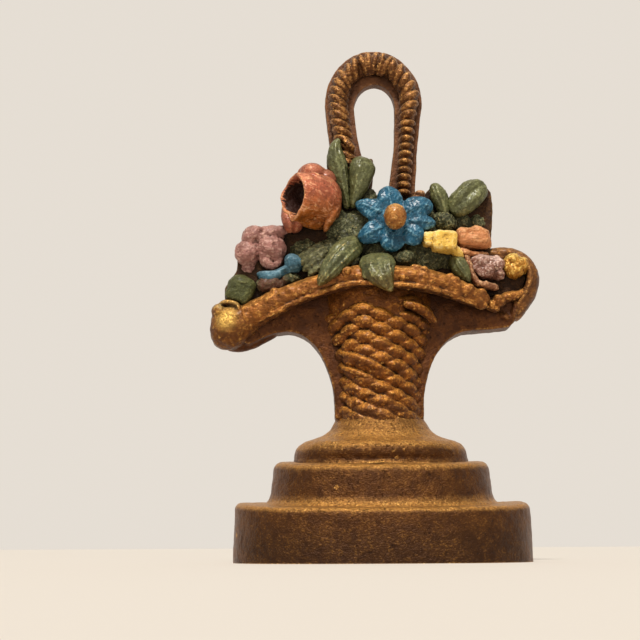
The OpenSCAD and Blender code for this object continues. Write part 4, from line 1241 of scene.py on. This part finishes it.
# Veins run at these shares of a leaf's half width, and veinSize is how thick they are
leaves = {
    "leafTopNarrow": dict(profile="ridge", veins=(0.55,), line=[
        (-10.2, 118.4, 8.8, 1.4, 2.0), (-11.2, 123.0, 9.0, 2.0, 2.4),
        (-12.2, 128.0, 9.4, 2.8, 2.6), (-13.4, 132.6, 9.6, 3.9, 2.6),
        (-14.2, 136.4, 9.6, 3.6, 2.5), (-14.6, 139.4, 9.4, 2.8, 2.3),
        (-14.2, 142.2, 9.0, 1.8, 1.9), (-13.4, 143.9, 8.6, 0.9, 1.3),
        (-13.0, 144.7, 8.3, 0.3, 0.6)],
        pushes=[((-13.4, 143.0, 9.6), (0.3, 0.4, 0.8), 1.6)]),
    "leafTopBroad": dict(profile="round", veins=(-0.3,), line=[
        (-8.8, 118.8, 9.2, 1.0, 1.8), (-8.4, 121.0, 9.6, 1.5, 2.2),
        (-7.4, 123.6, 10.0, 2.5, 2.5), (-6.5, 126.4, 10.4, 3.4, 2.8),
        (-5.8, 129.4, 10.6, 4.2, 3.0), (-5.3, 132.0, 10.6, 4.7, 3.1),
        (-4.8, 134.4, 10.2, 4.7, 2.9), (-4.0, 136.0, 9.6, 3.5, 2.4),
        (-3.4, 137.1, 8.8, 1.8, 1.5)],
        pushes=[((-9.6, 131.0, 11.0), (-0.4, 0.0, -0.6), 2.0),
                ((-6.6, 132.0, 13.4), (0.0, 0.0, 0.6), 3.0)]),
    "leafRightSmall": dict(profile="ridge", veins=(-0.5,), line=[
        (23.4, 115.6, 8.8, 1.6, 2.0), (22.6, 119.0, 9.2, 2.6, 2.4),
        (21.4, 122.4, 9.4, 3.1, 2.5), (20.2, 125.4, 9.2, 2.8, 2.3),
        (19.6, 127.2, 8.8, 1.9, 1.8), (19.4, 128.2, 8.4, 0.6, 0.9)]),
    "leafRightLarge": dict(profile="groove", veins=(-0.6, 0.5), line=[
        (24.8, 116.8, 9.0, 2.2, 2.0), (26.2, 118.2, 9.6, 3.9, 2.6),
        (28.6, 120.4, 10.0, 4.8, 2.9), (31.4, 122.9, 10.0, 5.0, 3.0),
        (34.0, 125.2, 9.6, 4.7, 2.8), (35.9, 126.8, 9.0, 3.6, 2.3),
        (37.0, 127.8, 8.6, 1.6, 1.4)],
        pushes=[((36.8, 126.8, 10.4), (0.5, -0.6, 0.2), 2.0)]),
    "leafCentreLeft": dict(profile="ridge", veins=(-0.5, 0.35), veinSize=0.38,
                           paint="giltLeaf", line=[
        (-5.8, 107.6, 9.6, 1.8, 2.0), (-8.0, 105.6, 12.0, 3.9, 2.8),
        (-10.8, 102.9, 14.0, 4.7, 3.2), (-13.6, 99.6, 15.6, 4.5, 3.2),
        (-16.0, 96.3, 16.4, 3.7, 2.9), (-18.0, 93.6, 16.9, 2.7, 2.5),
        (-19.6, 91.4, 17.2, 1.6, 2.0), (-20.6, 89.8, 17.1, 0.5, 0.9)],
        pushes=[((-8.0, 105.0, 15.0), (0, 0, 0.8), 2.6)]),
    "leafCentreHanging": dict(profile="groove", veins=(-0.6, 0.6), veinSize=0.38,
                              paint="giltLeaf", line=[
        (-1.2, 102.6, 10.6, 3.4, 2.2), (-0.9, 100.2, 13.8, 5.8, 3.0),
        (-0.8, 97.2, 16.8, 6.4, 3.4), (-0.3, 94.2, 18.2, 5.7, 3.5),
        (0.9, 91.8, 18.8, 4.3, 3.2), (2.0, 90.0, 19.1, 3.0, 2.8),
        (3.1, 88.2, 19.2, 1.5, 1.9), (3.6, 87.2, 19.0, 0.5, 0.9)],
        pushes=[((-3.4, 97.4, 20.0), (0, 0, 0.9), 2.4),
                ((2.6, 95.6, 21.0), (0, 0, -0.9), 1.8),
                ((0.4, 92.4, 21.8), (0, 0, 0.7), 1.8),
                ((-5.6, 93.4, 18.6), (-0.8, -0.6, 0), 1.8)]),
    "leafLowerRight": dict(profile="ridge", veins=(0.3,), line=[
        (25.0, 102.0, 8.8, 1.6, 2.2), (26.4, 99.6, 9.8, 3.1, 2.8),
        (28.0, 96.8, 10.4, 3.4, 2.9), (29.4, 94.2, 10.4, 2.6, 2.6),
        (30.4, 92.2, 10.0, 1.3, 1.8), (30.9, 91.2, 9.5, 0.4, 0.8)]),
}


def veinLine(line, share, size):
    # a thin ridge lying on the front of a leaf, from near its foot to its tip
    points = []
    for (x, h, d, w, t), turned in list(zip(line, headings(line)))[1:-1]:
        points.append((x + share * w * math.cos(turned), h - share * w * math.sin(turned),
                       d + t * math.sqrt(1 - share * share) - size * veinSunk, size, size))
    return run(points, sides=10)


def makeLeaf(name, profile, line, veins, veinSize=0.30, paint="leaf", pushes=()):
    piece = run(line, sides=20, profile=profile)
    for place, move, reach in pushes:
        push(piece, *place, move, reach)
    piece = joined([piece] + [veinLine(line, share, veinSize) for share in veins])
    castSkin(piece, *leafSkin)
    finishPiece(piece, name, paint)


for name, values in leaves.items():
    makeLeaf(name, **values)


# ---- floor, light and camera ----

print("stage")
stage = dict(pale=srgb(0.90, 0.87, 0.83), fill=srgb(0.95, 0.93, 0.90), fillStrength=0.24,
             floorSize=8.0, floorMiddle=(0, 0.5, 0), floorRoughness=0.9)
dropSelection()
bpy.ops.mesh.primitive_plane_add(size=stage["floorSize"], location=stage["floorMiddle"])
floor = newest()
floor.name = "floor"
floorPaint = bpy.data.materials.new("floorPaint")
floorPaint.use_nodes = True
floorInputs = floorPaint.node_tree.nodes["Principled BSDF"].inputs
floorInputs["Base Color"].default_value = stage["pale"]
floorInputs["Roughness"].default_value = stage["floorRoughness"]
floor.data.materials.append(floorPaint)

world = bpy.data.worlds.new("studio")
scene.world = world
world.use_nodes = True
sky = world.node_tree
backdrop = sky.nodes["Background"]
backdrop.inputs["Color"].default_value = stage["pale"]
backdrop.inputs["Strength"].default_value = 1.0
fill = addNode(sky, "ShaderNodeBackground", {"Color": stage["fill"],
                                             "Strength": stage["fillStrength"]})
rays = addNode(sky, "ShaderNodeLightPath").outputs
seen = maths(sky, "ADD", rays["Is Camera Ray"], rays["Is Transmission Ray"])
seen = maths(sky, "ADD", seen, rays["Is Glossy Ray"])
choose = addNode(sky, "ShaderNodeMixShader",
                 {0: seen, 1: fill.outputs[0], 2: backdrop.outputs[0]})
sky.links.new(choose.outputs[0], sky.nodes["World Output"].inputs["Surface"])


lamps = {
    "keyLight": dict(kind="SUN", place=(-0.08, -0.50, 0.80), toward=(0.08, 0.50, -0.71),
                     energy=3.3, color=(1.0, 0.96, 0.90), angle=math.radians(14)),
    "frontFill": dict(kind="AREA", place=(0.10, -1.2, 0.40), toward=(-0.10, 1.2, -0.31),
                      energy=1.2, color=(1.0, 0.98, 0.95), shape="RECTANGLE", size=0.9,
                      size_y=0.7),
}


def addLamp(name, kind, place, toward, **settings):
    bpy.ops.object.light_add(type=kind, location=place)
    lamp = newest()
    lamp.name = name
    lamp.rotation_euler = Vector(toward).to_track_quat("-Z", "Y").to_euler()
    for key, value in settings.items():
        setattr(lamp.data, key, value)


for name, values in lamps.items():
    addLamp(name, **values)

cameraView = dict(lens=61.875, sensor=36.0, clip=(0.01, 50.0),
                  place=(-0.01904, -0.35367, 0.005), tilt=101.66, roll=-0.30)
lens = bpy.data.cameras.new("camera")
lens.lens, lens.sensor_width = cameraView["lens"], cameraView["sensor"]
lens.clip_start, lens.clip_end = cameraView["clip"]
camera = bpy.data.objects.new("camera", lens)
scene.collection.objects.link(camera)
camera.matrix_world = (Matrix.Translation(cameraView["place"])
                       @ Matrix.Rotation(math.radians(cameraView["tilt"]), 4, "X")
                       @ Matrix.Rotation(math.radians(cameraView["roll"]), 4, "Z"))
scene.camera = camera
scene.view_settings.view_transform = "Standard"

dropSelection()
